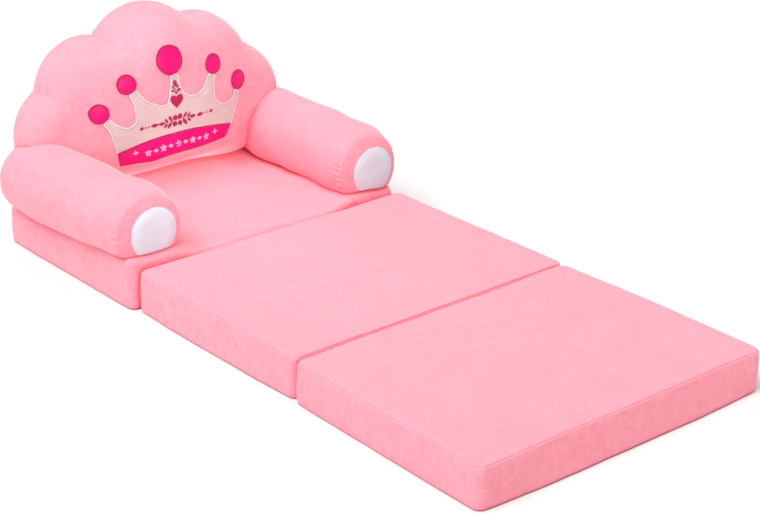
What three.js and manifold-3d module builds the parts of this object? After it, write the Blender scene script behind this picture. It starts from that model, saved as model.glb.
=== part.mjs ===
// A child's plush armchair that unfolds into a low lounger. Three foam slabs lie in a row and fold
// like a Z under the seat. The seat slab carries a stuffed scalloped backrest and two bolster arms.
// Millimetres, +Z up. The floor is z = 0 and the sitter looks towards -Y. The pieces are drawn with
// y = 0 at the joint between the seat slab and the middle slab, and x = 0 at the seat's middle. The
// whole chair is then moved so that the origin lies under the middle of its bounding box.
import * as THREE from "three";
import { mergeVertices } from "three/addons/utils/BufferGeometryUtils.js";
import Module from "manifold-3d";

const wasm = await Module();
wasm.setup();

// Driving sizes of the slabs
const SLAB_WIDTH = 500;
const SLAB_DEPTH = 378;
const SEAT_DEPTH = 352;
const SLAB_HEIGHT = 63;
const JOINT_GAP = 3;
const PLAN_CORNER = 20;
const TOP_EDGE = 10;
const BOTTOM_EDGE = 4;
const SLAB_CROWN = 1.5;
const MIDDLE_SIDE_SHIFT = 10;
const FRONT_SIDE_SHIFT = 4;

// Cloth, sheet and running clearances
const COVER_WALL = 2;
const PATCH_THICKNESS = 1;
const STITCH_THICKNESS = 0.8;
const CLEARANCE = 0.3;
const FOAM_SIDE_GAP = 1.7;
const FOAM_TOP_GAP = 0.8;
const OVERRUN = 40;
const SADDLE_MARGIN = 80;
const FAR = 900;

// Non-slip sheet under each slab
const SOLE_THICKNESS = 1.2;

// The seat cover is drawn up towards the arm fronts
const SEAT_CORNER_LIFT = 17;
const LIFT_INNER_X = 120;
const LIFT_OUTER_X = 190;
const LIFT_FRONT_Y = 50;
const LIFT_REAR_Y = 290;

// Bolster arms
const ARM_RADIUS = 63;
const ARM_FRONT_INSET = 43;
const ARM_REAR_INSET = 27;
const ARM_REAR_SETBACK = 22;
const ARM_FRONT_X = SLAB_WIDTH / 2 - ARM_FRONT_INSET;
const ARM_REAR_X = SLAB_WIDTH / 2 - ARM_REAR_INSET;
const ARM_AXIS_Z = 113.5;
const ARM_FRONT_SEAM_Y = 10.3;
const ARM_REAR_SEAM_Y = SEAT_DEPTH - ARM_REAR_SETBACK;
const ARM_FRONT_SEAM_RADIUS = 54.5;
const ARM_REAR_SEAM_RADIUS = 53;
const ARM_FRONT_SHOULDER = 46;
const ARM_REAR_SHOULDER = 60;
const ARM_NOSE = 8;
const ARM_TAIL = 17;
const ARM_FRONT_DROP = 3.5;
const ARM_PATCH_RADIUS = 39;
const ARM_PATCH_RISE = 1;

// Backrest pillow: a leaning front seam, a deep front crown, a narrow side wall and a flatter rear
const BACK_SETBACK = 44;
const BACK_SEAM_Y = SEAT_DEPTH - BACK_SETBACK;
const BACK_WALL = 13;
const BACK_SEAM_Z = 64;
const BACK_LEAN = THREE.MathUtils.degToRad(6);
const BACK_FRONT_CROWN = 71;
const BACK_REAR_CROWN = 30;
const BACK_EDGE_REACH = 66;
const BACK_FOOT_RISE = 1;
const BACK_BODY_HALF = 232;
// Lobes of the scalloped outline, left to right: across, up along the lean, radius
const TOP_LOBE = { across: 2, up: 179, radius: 108 };
const SHOULDER_LOBE = { across: 103, up: 166, radius: 88 };
const SIDE_LOBE = { across: 163, up: 112, radius: 77 };
const SIDE_LOBE_START = THREE.MathUtils.degToRad(202);

// Crown patch, banner and embroidery on the backrest
const CROWN_FOOT_Z = 147;
const CROWN_HALF_WIDTH = 127;
const CROWN_HEIGHT = 103;
const BANNER_HALF_WIDTH = 110;
const BANNER_FOOT_HALF_WIDTH = 104;
const BANNER_ARCH = 10;
const BANNER_HEIGHT = 22;
const CENTRE_GEM = { x: 0, z: 276, radius: 24.5 };
const INNER_GEM = { x: 83, z: 253.5, radius: 17 };
const OUTER_GEM = { x: 133, z: 217, radius: 17 };
const HEART = { x: 2, z: 209, width: 24, height: 25 };
const WREATH = { x: 2, z: 176.5, halfLength: 68, leaf: 6.5, stem: 1.5 };
const SPRIG = { x: 1, z: 231, height: 22, leaf: 3.6, stem: 1.3 };

// Hidden zips
const ZIP_SLOT = 4;
const ZIP_TAPE_WIDTH = 12;
const ZIP_TAPE_THICKNESS = 0.8;
const ZIP_END_MARGIN = 45;
const ZIP_HEIGHT_SHARE = 0.5;
const SLIDER = { length: 9, thickness: 1.3, pullLength: 16, pullWidth: 2, pullThickness: 0.8 };

// Cloth hinges in the two joints
const HINGE_WIDTH = 452;
const HINGE_THICKNESS = 0.8;
const HINGE_DROP = 6.4;
const HINGE_SAG = 0.9;
const REAR_HINGE_RISE = 2.2;

// Mesh density
const CORNER_STEPS = 2;
const LONG_SIDE_STEPS = 5;
const SHORT_SIDE_STEPS = 4;
const EDGE_STEPS = 2;
const ARM_SIDES = 18;
const LOBE_STEPS = 7;
const ELLIPSE_STEPS = 18;
const LEAF_STEPS = 6;
const CURVE_STEPS = 4;

const QUARTER = Math.PI / 2;
const HALF_TURN = Math.PI;
const FULL_TURN = Math.PI * 2;
const PILLOW_POWER = 2.3;
const MIRROR = [-1, 1];

// Shares of a piece's own size, for rings, curves and leaves
const CROWN_RING_SHARES = [0.9, 0.5];
const DOME_SHARES = [0.4, 0.78];
const SHOULDER_SHARES = [0, 0.35, 1];
const FOOT_SHARES = [0.94, 0.55, 0, -0.55, -0.94];
const FRONT_PILLOW_SHARES = [0.03, 0.12, 0.32, 0.65];
const REAR_PILLOW_SHARES = [0.05, 0.25, 0.65];
const LEAF_SHARE = 0.4;
const LEAF_TURN = THREE.MathUtils.degToRad(42);
const WREATH_LEAF_SHARES = [0.06, 0.26];
const WREATH_BEAD_SHARES = [[0.56, 0.8], [0.97, 0.5]];
const SPRIG_LEAF_SHARES = [-0.32, 0];
const HEART_START_SHARE = [0, -0.5];
const HEART_CURVE_SHARES = [
  [[0.1, -0.3], [0.5, -0.05], [0.5, 0.2]],
  [[0.5, 0.42], [0.3, 0.5], [0.18, 0.46]],
  [[0.08, 0.42], [0.02, 0.34], [0, 0.24]],
  [[-0.02, 0.34], [-0.08, 0.42], [-0.18, 0.46]],
  [[-0.3, 0.5], [-0.5, 0.42], [-0.5, 0.2]],
  [[-0.5, -0.05], [-0.1, -0.3], [0, -0.5]],
];
// Half of the crown's outline, in shares of its half width and height: the middle tip, then
// valley and tip by turns, each with the control point of the curve that leads to it
const CROWN_START_SHARE = [0, 1];
const CROWN_CURVE_SHARES = [
  { control: [0.02, 1], end: [0.045, 1] },
  { control: [0.08, 0.6], end: [0.27, 0.59] },
  { control: [0.47, 0.6], end: [0.54, 0.87] },
  { control: [0.58, 0.88], end: [0.63, 0.86] },
  { control: [0.58, 0.4], end: [0.76, 0.37] },
  { control: [0.88, 0.37], end: [0.94, 0.53] },
  { control: [0.97, 0.53], end: [1, 0.5] },
  { control: [0.92, 0.25], end: [0.865, 0] },
];

// Materials
function cloth(name, colour, roughness) {
  const material = new THREE.MeshStandardMaterial({ color: colour, roughness, metalness: 0 });
  material.name = name;
  return material;
}

const plush = cloth("plush", 0xf9afc2, 0.95);
const satin = cloth("crown_satin", 0xe8d3cf, 0.6);
const magenta = cloth("magenta_satin", 0xe60f72, 0.55);
const embroidery = cloth("embroidery", 0xb4124c, 0.6);
const whiteFleece = cloth("white_fleece", 0xe9dfec, 0.9);
const foam = cloth("foam", 0xf2e9c9, 1);
const fibre = cloth("fibre", 0xf6f5f2, 1);
const sole = cloth("non_slip_sheet", 0x3d3436, 0.85);
const tape = cloth("zip_tape", 0xf2a3b8, 0.8);
const hingeCloth = cloth("hinge_cloth", 0xe88fa5, 0.9);
const zipMetal = new THREE.MeshStandardMaterial({ color: 0xc9c3c6, roughness: 0.35, metalness: 0.9 });
zipMetal.name = "zip_metal";

// Helpers between three.js geometry and manifold solids
function solidOf(geometry) {
  const bare = geometry.clone();
  bare.deleteAttribute("normal");
  bare.deleteAttribute("uv");
  const merged = mergeVertices(bare);
  return new wasm.Manifold(
    new wasm.Mesh({
      numProp: 3,
      vertProperties: Float32Array.from(merged.attributes.position.array),
      triVerts: Uint32Array.from(merged.index.array),
    }),
  );
}

function geometryOf(solid) {
  const mesh = solid.getMesh();
  const geometry = new THREE.BufferGeometry();
  geometry.setAttribute("position", new THREE.BufferAttribute(mesh.vertProperties, 3));
  geometry.setIndex(new THREE.BufferAttribute(mesh.triVerts, 1));
  geometry.computeVertexNormals();
  return geometry;
}

function boxSolid(low, high) {
  const size = high.map((value, axis) => value - low[axis]);
  const geometry = new THREE.BoxGeometry(...size);
  geometry.translate(...low.map((value, axis) => value + size[axis] / 2));
  return solidOf(geometry);
}

// Rings of points joined into one closed skin, with a fan at each end
function loft(rings, startPoint, endPoint) {
  const count = rings[0].length;
  const positions = [startPoint, ...rings.flat(), endPoint].flat();
  const last = rings.length * count + 1;
  const indices = [];
  for (let i = 0; i < count; i += 1) {
    const next = (i + 1) % count;
    indices.push(0, 1 + next, 1 + i);
    for (let ring = 0; ring < rings.length - 1; ring += 1) {
      const low = 1 + ring * count;
      const high = low + count;
      indices.push(low + i, low + next, high + next, low + i, high + next, high + i);
    }
    indices.push(last, last - count + i, last - count + next);
  }
  const geometry = new THREE.BufferGeometry();
  geometry.setAttribute("position", new THREE.Float32BufferAttribute(positions, 3));
  geometry.setIndex(indices);
  return geometry;
}

function smoothStep(value, from, to) {
  const share = THREE.MathUtils.clamp((value - from) / (to - from), 0, 1);
  return share * share * (3 - 2 * share);
}

// The three slabs: seat, middle and front, with their zips on the rear, side and front walls
function seatLift(x, y) {
  const across = smoothStep(Math.abs(x), LIFT_INNER_X, LIFT_OUTER_X);
  return SEAT_CORNER_LIFT * across * (1 - smoothStep(y, LIFT_FRONT_Y, LIFT_REAR_Y));
}

const HALF_GAP = JOINT_GAP / 2;
const SLABS = {
  seat: { centreX: 0, frontY: HALF_GAP, depth: SEAT_DEPTH, lift: seatLift, zipTurn: HALF_TURN },
  middle: {
    centreX: MIDDLE_SIDE_SHIFT,
    frontY: -HALF_GAP - SLAB_DEPTH,
    depth: SLAB_DEPTH,
    lift: () => 0,
    zipTurn: QUARTER,
  },
  front: {
    centreX: FRONT_SIDE_SHIFT,
    frontY: -HALF_GAP - SLAB_DEPTH - JOINT_GAP - SLAB_DEPTH,
    depth: SLAB_DEPTH,
    lift: () => 0,
    zipTurn: 0,
  },
};
const SLAB_BOTTOM = SOLE_THICKNESS + CLEARANCE;

// Round-cornered rectangle, anticlockwise from above, the same point count at any size
function planRing(halfX, halfY, corner) {
  const signs = [[1, 1], [-1, 1], [-1, -1], [1, -1]];
  const corners = signs.map(([signX, signY], quadrant) =>
    Array.from({ length: CORNER_STEPS + 1 }, (_, step) => {
      const angle = (quadrant + step / CORNER_STEPS) * QUARTER;
      const x = signX * (halfX - corner) + corner * Math.cos(angle);
      const y = signY * (halfY - corner) + corner * Math.sin(angle);
      return [x, y];
    }),
  );
  return corners.flatMap((points, quadrant) => {
    const from = points[CORNER_STEPS];
    const to = corners[(quadrant + 1) % corners.length][0];
    const steps = quadrant % 2 === 0 ? LONG_SIDE_STEPS : SHORT_SIDE_STEPS;
    const between = Array.from({ length: steps - 1 }, (_, step) => {
      const share = (step + 1) / steps;
      return [from[0] + (to[0] - from[0]) * share, from[1] + (to[1] - from[1]) * share];
    });
    return [...points, ...between];
  });
}

// Height of a slab's top skin over a point given from the slab's centre
function slabTop(slab, x, y) {
  const across = 1 - (x / (SLAB_WIDTH / 2)) ** 2;
  const along = 1 - (y / (slab.depth / 2)) ** 2;
  const crown = SLAB_CROWN * Math.max(across, 0) * Math.max(along, 0);
  return SLAB_HEIGHT + crown + slab.lift(x, slab.frontY + slab.depth / 2 + y);
}

// A slab's solid. side, top: how far the walls and the top skin lie inside the outer skin
function slabForm(slab, { side, top, bottom, widen = 0 }) {
  const halfX = SLAB_WIDTH / 2 - side + widen;
  const halfY = slab.depth / 2 - side + widen;
  const corner = PLAN_CORNER - side;
  const topEdge = TOP_EDGE - top;
  const centreY = slab.frontY + slab.depth / 2;
  const ringAt = (inset, height) =>
    planRing(halfX - inset, halfY - inset, corner - inset).map(([x, y]) => [
      slab.centreX + x,
      centreY + y,
      height(x, y),
    ]);
  const crownInset = TOP_EDGE - widen;
  const crownRing = (share) =>
    planRing(
      SLAB_WIDTH / 2 - crownInset,
      slab.depth / 2 - crownInset,
      PLAN_CORNER - TOP_EDGE,
    ).map(([x, y]) => [
      slab.centreX + x * share,
      centreY + y * share,
      slabTop(slab, x * share, y * share) - top,
    ]);
  const rings = [
    ringAt(BOTTOM_EDGE, () => bottom),
    ringAt(0, () => bottom + BOTTOM_EDGE),
  ];
  for (let step = 0; step <= EDGE_STEPS; step += 1) {
    const angle = (step / EDGE_STEPS) * QUARTER;
    const inset = topEdge * (1 - Math.cos(angle));
    const drop = top + topEdge * (1 - Math.sin(angle));
    rings.push(ringAt(inset, (x, y) => slabTop(slab, x, y) - drop));
  }
  CROWN_RING_SHARES.forEach((share) => rings.push(crownRing(share)));
  return solidOf(
    loft(
      rings,
      [slab.centreX, centreY, bottom],
      [slab.centreX, centreY, slabTop(slab, 0, 0) - top],
    ),
  );
}

// The zip lies along x on a wall that faces -y, then turns to its wall about the slab's centre
function onZipWall(slab, solid) {
  const wallReach = slab.zipTurn === QUARTER ? SLAB_WIDTH / 2 : slab.depth / 2;
  const centreY = slab.frontY + slab.depth / 2;
  return solid
    .translate([0, -wallReach, SLAB_HEIGHT * ZIP_HEIGHT_SHARE])
    .rotate([0, 0, THREE.MathUtils.radToDeg(slab.zipTurn)])
    .translate([slab.centreX, centreY, 0]);
}

function zipHalfLength(slab) {
  const wall = slab.zipTurn === QUARTER ? slab.depth : SLAB_WIDTH;
  return wall / 2 - ZIP_END_MARGIN;
}

function zipSlot(slab) {
  const half = zipHalfLength(slab);
  return boxSolid([-half, -OVERRUN, -ZIP_SLOT / 2], [half, COVER_WALL + CLEARANCE, ZIP_SLOT / 2]);
}

// One tape above the teeth line and one below it, behind the cover's wall
function zipTape(slab, side) {
  const half = zipHalfLength(slab) + SLIDER.length;
  const near = COVER_WALL + CLEARANCE;
  const inner = CLEARANCE * side;
  const outer = (CLEARANCE + ZIP_TAPE_WIDTH) * side;
  const low = [-half, near, Math.min(inner, outer)];
  const high = [half, near + ZIP_TAPE_THICKNESS, Math.max(inner, outer)];
  return boxSolid(low, high);
}

// Slider body with its pull lying along the slot, at the closed end
function zipSlider(slab) {
  const half = zipHalfLength(slab) - CLEARANCE;
  const bodyHalf = ZIP_SLOT / 2 - CLEARANCE;
  const back = COVER_WALL;
  const face = back - SLIDER.thickness;
  const body = boxSolid([half - SLIDER.length, face, -bodyHalf], [half, back, bodyHalf]);
  const pullEnd = half - SLIDER.length / 2;
  const pullHalf = SLIDER.pullWidth / 2;
  const pull = boxSolid(
    [pullEnd - SLIDER.pullLength, face - SLIDER.pullThickness, -pullHalf],
    [pullEnd, face + SLIDER.pullThickness / 2, pullHalf],
  );
  return body.add(pull);
}

// A flat sheet with a slab's plan outline, inset from its walls
function slabSheet(slab, inset, low, high) {
  const outline = planRing(SLAB_WIDTH / 2 - inset, slab.depth / 2 - inset, PLAN_CORNER - inset);
  const shape = new THREE.Shape(outline.map(([x, y]) => new THREE.Vector2(x, y)));
  const sheet = new THREE.ExtrudeGeometry(shape, { depth: high - low, bevelEnabled: false });
  sheet.translate(slab.centreX, slab.frontY + slab.depth / 2, low);
  return solidOf(sheet);
}

function slabCover(slab) {
  const outer = slabForm(slab, { side: 0, top: 0, bottom: SLAB_BOTTOM });
  const inner = slabForm(slab, { side: COVER_WALL, top: COVER_WALL, bottom: SLAB_BOTTOM });
  const mouth = slabSheet(slab, BOTTOM_EDGE + COVER_WALL, -OVERRUN, SLAB_BOTTOM + BOTTOM_EDGE);
  return outer.subtract(inner).subtract(mouth).subtract(onZipWall(slab, zipSlot(slab)));
}

function slabFoam(slab) {
  const side = COVER_WALL + FOAM_SIDE_GAP;
  return slabForm(slab, { side, top: COVER_WALL + FOAM_TOP_GAP, bottom: SLAB_BOTTOM });
}

function slabSole(slab) {
  return slabSheet(slab, BOTTOM_EDGE, 0, SOLE_THICKNESS);
}

// A shallow V of cloth across a joint, between the rounded edges of two slabs
function hingeStrip(jointY, height, sag) {
  const reach = hingeReach(height);
  const half = HINGE_THICKNESS / 2;
  const outline = new THREE.Shape([
    new THREE.Vector2(-reach, -half),
    new THREE.Vector2(0, -half - sag),
    new THREE.Vector2(reach, -half),
    new THREE.Vector2(reach, half),
    new THREE.Vector2(0, half - sag),
    new THREE.Vector2(-reach, half),
  ]);
  const strip = new THREE.ExtrudeGeometry(outline, { depth: HINGE_WIDTH, bevelEnabled: false });
  strip.rotateX(QUARTER);
  strip.rotateZ(QUARTER);
  strip.translate(-HINGE_WIDTH / 2, jointY, height);
  return solidOf(strip);
}

// Half the strip's width: from the joint's middle to the slab edges at that height
function hingeReach(height) {
  const fromTop = TOP_EDGE - (SLAB_HEIGHT - height - HINGE_THICKNESS / 2 - HINGE_SAG);
  const fromBottom = BOTTOM_EDGE - (height + HINGE_THICKNESS / 2 - SLAB_BOTTOM);
  const topInset = fromTop > 0 ? TOP_EDGE - Math.sqrt(TOP_EDGE ** 2 - fromTop ** 2) : 0;
  const bottomInset = Math.max(fromBottom, 0);
  return HALF_GAP + Math.max(topInset, bottomInset) - CLEARANCE;
}

// A bolster arm as rings along its axis. inset moves the skin inwards, side is -1 or 1
function armRadius(y) {
  const front = 1 - THREE.MathUtils.clamp((y - ARM_FRONT_SEAM_Y) / ARM_FRONT_SHOULDER, 0, 1);
  const rear = 1 - THREE.MathUtils.clamp((ARM_REAR_SEAM_Y - y) / ARM_REAR_SHOULDER, 0, 1);
  const frontLoss = (ARM_RADIUS - ARM_FRONT_SEAM_RADIUS) * front ** 2;
  return ARM_RADIUS - frontLoss - (ARM_RADIUS - ARM_REAR_SEAM_RADIUS) * rear ** 2;
}

function armCentre(side, y) {
  const share = (y - ARM_FRONT_SEAM_Y) / (ARM_REAR_SEAM_Y - ARM_FRONT_SEAM_Y);
  const front = 1 - THREE.MathUtils.clamp((y - ARM_FRONT_SEAM_Y) / ARM_FRONT_SHOULDER, 0, 1);
  return {
    x: side * (ARM_FRONT_X + (ARM_REAR_X - ARM_FRONT_X) * share),
    z: ARM_AXIS_Z - ARM_FRONT_DROP * front ** 2,
  };
}

function armForm(side, inset) {
  const ringAt = (y, radius, seamY) => {
    const centre = armCentre(side, seamY);
    return Array.from({ length: ARM_SIDES }, (_, step) => {
      const angle = (step / ARM_SIDES) * FULL_TURN;
      return [centre.x + radius * Math.cos(angle), y, centre.z - radius * Math.sin(angle)];
    });
  };
  const noseY = (share) => ARM_FRONT_SEAM_Y - (ARM_NOSE - inset) * (1 - share ** 2);
  const tailY = (share) => ARM_REAR_SEAM_Y + (ARM_TAIL - inset) * (1 - share ** 2);
  const frontRadius = ARM_FRONT_SEAM_RADIUS - inset;
  const rearRadius = ARM_REAR_SEAM_RADIUS - inset;
  const nose = DOME_SHARES.map((share) =>
    ringAt(noseY(share), frontRadius * share, ARM_FRONT_SEAM_Y),
  );
  const tube = armStations().map((y) => ringAt(y, armRadius(y) - inset, y));
  const tail = [...DOME_SHARES]
    .reverse()
    .map((share) => ringAt(tailY(share), rearRadius * share, ARM_REAR_SEAM_Y));
  const front = armCentre(side, ARM_FRONT_SEAM_Y);
  const rear = armCentre(side, ARM_REAR_SEAM_Y);
  return solidOf(
    loft([...nose, ...tube, ...tail], [front.x, noseY(0), front.z], [rear.x, tailY(0), rear.z]),
  );
}

function armStations() {
  const front = SHOULDER_SHARES.map((share) => ARM_FRONT_SEAM_Y + ARM_FRONT_SHOULDER * share);
  const rear = SHOULDER_SHARES.map((share) => ARM_REAR_SEAM_Y - ARM_REAR_SHOULDER * share);
  return [...front, ...rear.reverse()];
}

// All that lies under the seat's top skin, carried on past its edges: the arms' and backrest's saddle
function underSeat(gap) {
  const seat = slabForm(SLABS.seat, { side: -gap, top: -gap, bottom: -OVERRUN });
  const around = slabForm(SLABS.seat, { side: 0, top: -gap, bottom: -OVERRUN, widen: SADDLE_MARGIN });
  return seat.add(around);
}

// The five lobes of the scalloped outline, left to right. inset draws them in
const LOBES = [
  [SIDE_LOBE, -1],
  [SHOULDER_LOBE, -1],
  [TOP_LOBE, 1],
  [SHOULDER_LOBE, 1],
  [SIDE_LOBE, 1],
];

function lobesAt(inset) {
  return LOBES.map(([lobe, side]) => ({
    x: lobe.across * side,
    up: lobe.up,
    radius: lobe.radius - inset,
  }));
}

// The outer crossing of two neighbouring lobes
function lobeCrossing(left, right) {
  const dx = right.x - left.x;
  const dz = right.up - left.up;
  const span = Math.hypot(dx, dz);
  const along = (span ** 2 + left.radius ** 2 - right.radius ** 2) / (2 * span);
  const off = Math.sqrt(left.radius ** 2 - along ** 2);
  return [
    left.x + (dx * along) / span - (dz * off) / span,
    left.up + (dz * along) / span + (dx * off) / span,
  ];
}

function backOutline(inset) {
  const lobes = lobesAt(inset);
  const angleOn = (lobe, point) => Math.atan2(point[1] - lobe.up, point[0] - lobe.x);
  const crossings = lobes.slice(1).map((lobe, index) => lobeCrossing(lobes[index], lobe));
  const points = lobes.flatMap((lobe, index) => {
    const from = index === 0 ? SIDE_LOBE_START : angleOn(lobe, crossings[index - 1]);
    const last = index === crossings.length;
    const end = last ? HALF_TURN - SIDE_LOBE_START : angleOn(lobe, crossings[index]);
    const to = end > from ? end - FULL_TURN : end;
    return Array.from({ length: LOBE_STEPS }, (_, step) => {
      const angle = from + ((to - from) * step) / LOBE_STEPS;
      return [lobe.x + lobe.radius * Math.cos(angle), lobe.up + lobe.radius * Math.sin(angle)];
    });
  });
  const half = BACK_BODY_HALF - inset;
  const foot = BACK_FOOT_RISE + inset;
  const footPoints = FOOT_SHARES.map((share) => [half * share, foot]);
  return [...points, ...footPoints];
}

// How far a point of the outline's plane lies from the nearest side of the outline
function depthInside(outline, x, up) {
  const toSides = outline.map(([fromX, fromUp], index) => {
    const [toX, toUp] = outline[(index + 1) % outline.length];
    const runX = toX - fromX;
    const runUp = toUp - fromUp;
    const along = ((x - fromX) * runX + (up - fromUp) * runUp) / (runX ** 2 + runUp ** 2);
    const share = THREE.MathUtils.clamp(along, 0, 1);
    return Math.hypot(x - fromX - runX * share, up - fromUp - runUp * share);
  });
  return Math.min(...toSides);
}

function pillowRise(outline, x, up) {
  const share = Math.min(depthInside(outline, x, up) / BACK_EDGE_REACH, 1);
  return (1 - (1 - share) ** PILLOW_POWER) ** (1 / PILLOW_POWER);
}

function backSeamY(up) {
  return BACK_SEAM_Y + up * Math.sin(BACK_LEAN);
}

function backForm(inset) {
  const outline = backOutline(inset);
  const hub = [0, SIDE_LOBE.up];
  const ringAt = (share, crown, wall) =>
    outline.map(([x, up]) => {
      const ringX = x + (hub[0] - x) * share;
      const ringUp = up + (hub[1] - up) * share;
      const y = backSeamY(ringUp) + wall + crown * pillowRise(outline, ringX, ringUp);
      return [ringX, y, BACK_SEAM_Z + ringUp * Math.cos(BACK_LEAN)];
    });
  const frontCrown = inset - BACK_FRONT_CROWN;
  const rearCrown = BACK_REAR_CROWN - inset;
  const front = [...FRONT_PILLOW_SHARES].reverse().map((share) => ringAt(share, frontCrown, 0));
  const rear = REAR_PILLOW_SHARES.map((share) => ringAt(share, rearCrown, BACK_WALL));
  const wall = [ringAt(0, 0, 0), ringAt(0, 0, BACK_WALL)];
  const middleZ = BACK_SEAM_Z + hub[1] * Math.cos(BACK_LEAN);
  const middleY = backSeamY(hub[1]);
  return solidOf(
    loft(
      [...front, ...wall, ...rear],
      [hub[0], middleY + frontCrown, middleZ],
      [hub[0], middleY + BACK_WALL + rearCrown, middleZ],
    ),
  );
}

// All that lies in front of the leaning seam plane, moved back by shift
function beforeSeam(shift) {
  const geometry = new THREE.BoxGeometry(FAR, FAR, FAR);
  geometry.translate(0, shift - FAR / 2, 0);
  geometry.rotateX(-BACK_LEAN);
  geometry.translate(0, BACK_SEAM_Y, BACK_SEAM_Z);
  return solidOf(geometry);
}

// Flat outlines drawn in x and z, as prisms that run through the front of the chair
function prismOf(shape) {
  const prism = new THREE.ExtrudeGeometry(shape, {
    depth: FAR,
    bevelEnabled: false,
    curveSegments: CURVE_STEPS,
  });
  prism.rotateX(QUARTER);
  prism.translate(0, FAR / 2, 0);
  return solidOf(prism);
}

function ellipseShape(x, z, halfWidth, halfHeight, turn, steps) {
  const points = Array.from({ length: steps }, (_, step) => {
    const angle = (step / steps) * FULL_TURN;
    const u = halfWidth * Math.cos(angle);
    const v = halfHeight * Math.sin(angle);
    return new THREE.Vector2(
      x + u * Math.cos(turn) - v * Math.sin(turn),
      z + u * Math.sin(turn) + v * Math.cos(turn),
    );
  });
  return new THREE.Shape(points);
}

// A sheet of the given thickness on a form's front, inside a prism
function sheetOn(form, prism, gap, thickness) {
  const outer = form.translate([0, -gap - thickness, 0]);
  const inner = form.translate([0, -gap, 0]);
  return prism.intersect(outer).subtract(inner);
}

// The crown patch's outline: the right half curve by curve, then the same curves mirrored back
function crownShape() {
  const at = ([x, z]) => [x * CROWN_HALF_WIDTH, CROWN_FOOT_Z + z * CROWN_HEIGHT];
  const shape = new THREE.Shape();
  const right = CROWN_CURVE_SHARES.map(({ control, end }) => ({ control: at(control), end: at(end) }));
  const start = at(CROWN_START_SHARE);
  shape.moveTo(...start);
  right.forEach(({ control, end }) => shape.quadraticCurveTo(...control, ...end));
  const flip = ([x, z]) => [-x, z];
  const last = right[right.length - 1].end;
  shape.lineTo(...flip(last));
  for (let i = right.length - 1; i >= 0; i -= 1) {
    const end = i === 0 ? start : right[i - 1].end;
    shape.quadraticCurveTo(...flip(right[i].control), ...flip(end));
  }
  return shape;
}

function bannerShape() {
  const shape = new THREE.Shape();
  const foot = CROWN_FOOT_Z - BANNER_HEIGHT;
  shape.moveTo(-BANNER_FOOT_HALF_WIDTH, foot);
  shape.lineTo(BANNER_FOOT_HALF_WIDTH, foot);
  shape.lineTo(BANNER_HALF_WIDTH, CROWN_FOOT_Z);
  shape.quadraticCurveTo(0, CROWN_FOOT_Z + BANNER_ARCH * 2, -BANNER_HALF_WIDTH, CROWN_FOOT_Z);
  return shape;
}

function heartShape() {
  const at = ([x, z]) => [HEART.x + x * HEART.width, HEART.z + z * HEART.height];
  const shape = new THREE.Shape();
  shape.moveTo(...at(HEART_START_SHARE));
  HEART_CURVE_SHARES.forEach(([first, second, end]) =>
    shape.bezierCurveTo(...at(first), ...at(second), ...at(end)),
  );
  return shape;
}

function joined(shapes) {
  return shapes.map(prismOf).reduce((whole, next) => whole.add(next));
}

function barShape(x, z, halfLength, halfWidth) {
  return new THREE.Shape([
    new THREE.Vector2(x - halfLength, z - halfWidth),
    new THREE.Vector2(x + halfLength, z - halfWidth),
    new THREE.Vector2(x + halfLength, z + halfWidth),
    new THREE.Vector2(x - halfLength, z + halfWidth),
  ]);
}

// A level spray: leaves in pairs near its middle, then beads towards each end
function wreathPrism() {
  const { x, z, halfLength, leaf, stem } = WREATH;
  const shapes = [barShape(x, z, halfLength, stem / 2)];
  MIRROR.forEach((side) => {
    WREATH_LEAF_SHARES.forEach((share) =>
      MIRROR.forEach((above) => {
        const leafX = x + side * share * halfLength + (side * leaf) / 2;
        const leafZ = z + (above * leaf) / 2;
        const turn = side * above * LEAF_TURN;
        shapes.push(ellipseShape(leafX, leafZ, leaf, leaf * LEAF_SHARE, turn, LEAF_STEPS));
      }),
    );
    WREATH_BEAD_SHARES.forEach(([share, size]) =>
      shapes.push(ellipseShape(x + side * share * halfLength, z, leaf * size, stem, 0, LEAF_STEPS)),
    );
  });
  return joined(shapes);
}

// An upright spray: a bud over pairs of leaves
function sprigPrism() {
  const { x, z, height, leaf, stem } = SPRIG;
  const shapes = [barShape(x, z, stem / 2, height / 2)];
  shapes.push(ellipseShape(x, z + height / 2, leaf * LEAF_SHARE, leaf, 0, LEAF_STEPS));
  SPRIG_LEAF_SHARES.forEach((share) =>
    MIRROR.forEach((side) => {
      const leafX = x + (side * leaf) / 2;
      const leafZ = z + share * height + leaf / 2;
      shapes.push(ellipseShape(leafX, leafZ, leaf, leaf * LEAF_SHARE, side * LEAF_TURN, LEAF_STEPS));
    }),
  );
  return joined(shapes);
}

// The assembly
const chair = new THREE.Group();

function place(name, solid, material) {
  const mesh = new THREE.Mesh(geometryOf(solid), material);
  mesh.name = name;
  chair.add(mesh);
}

function placeSlab(name, slab) {
  place(`${name}_cover`, slabCover(slab), plush);
  place(`${name}_foam`, slabFoam(slab), foam);
  place(`${name}_sole`, slabSole(slab), sole);
  place(`${name}_zip_tape_upper`, onZipWall(slab, zipTape(slab, 1)), tape);
  place(`${name}_zip_tape_lower`, onZipWall(slab, zipTape(slab, -1)), tape);
  place(`${name}_zip_slider`, onZipWall(slab, zipSlider(slab)), zipMetal);
}

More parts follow.
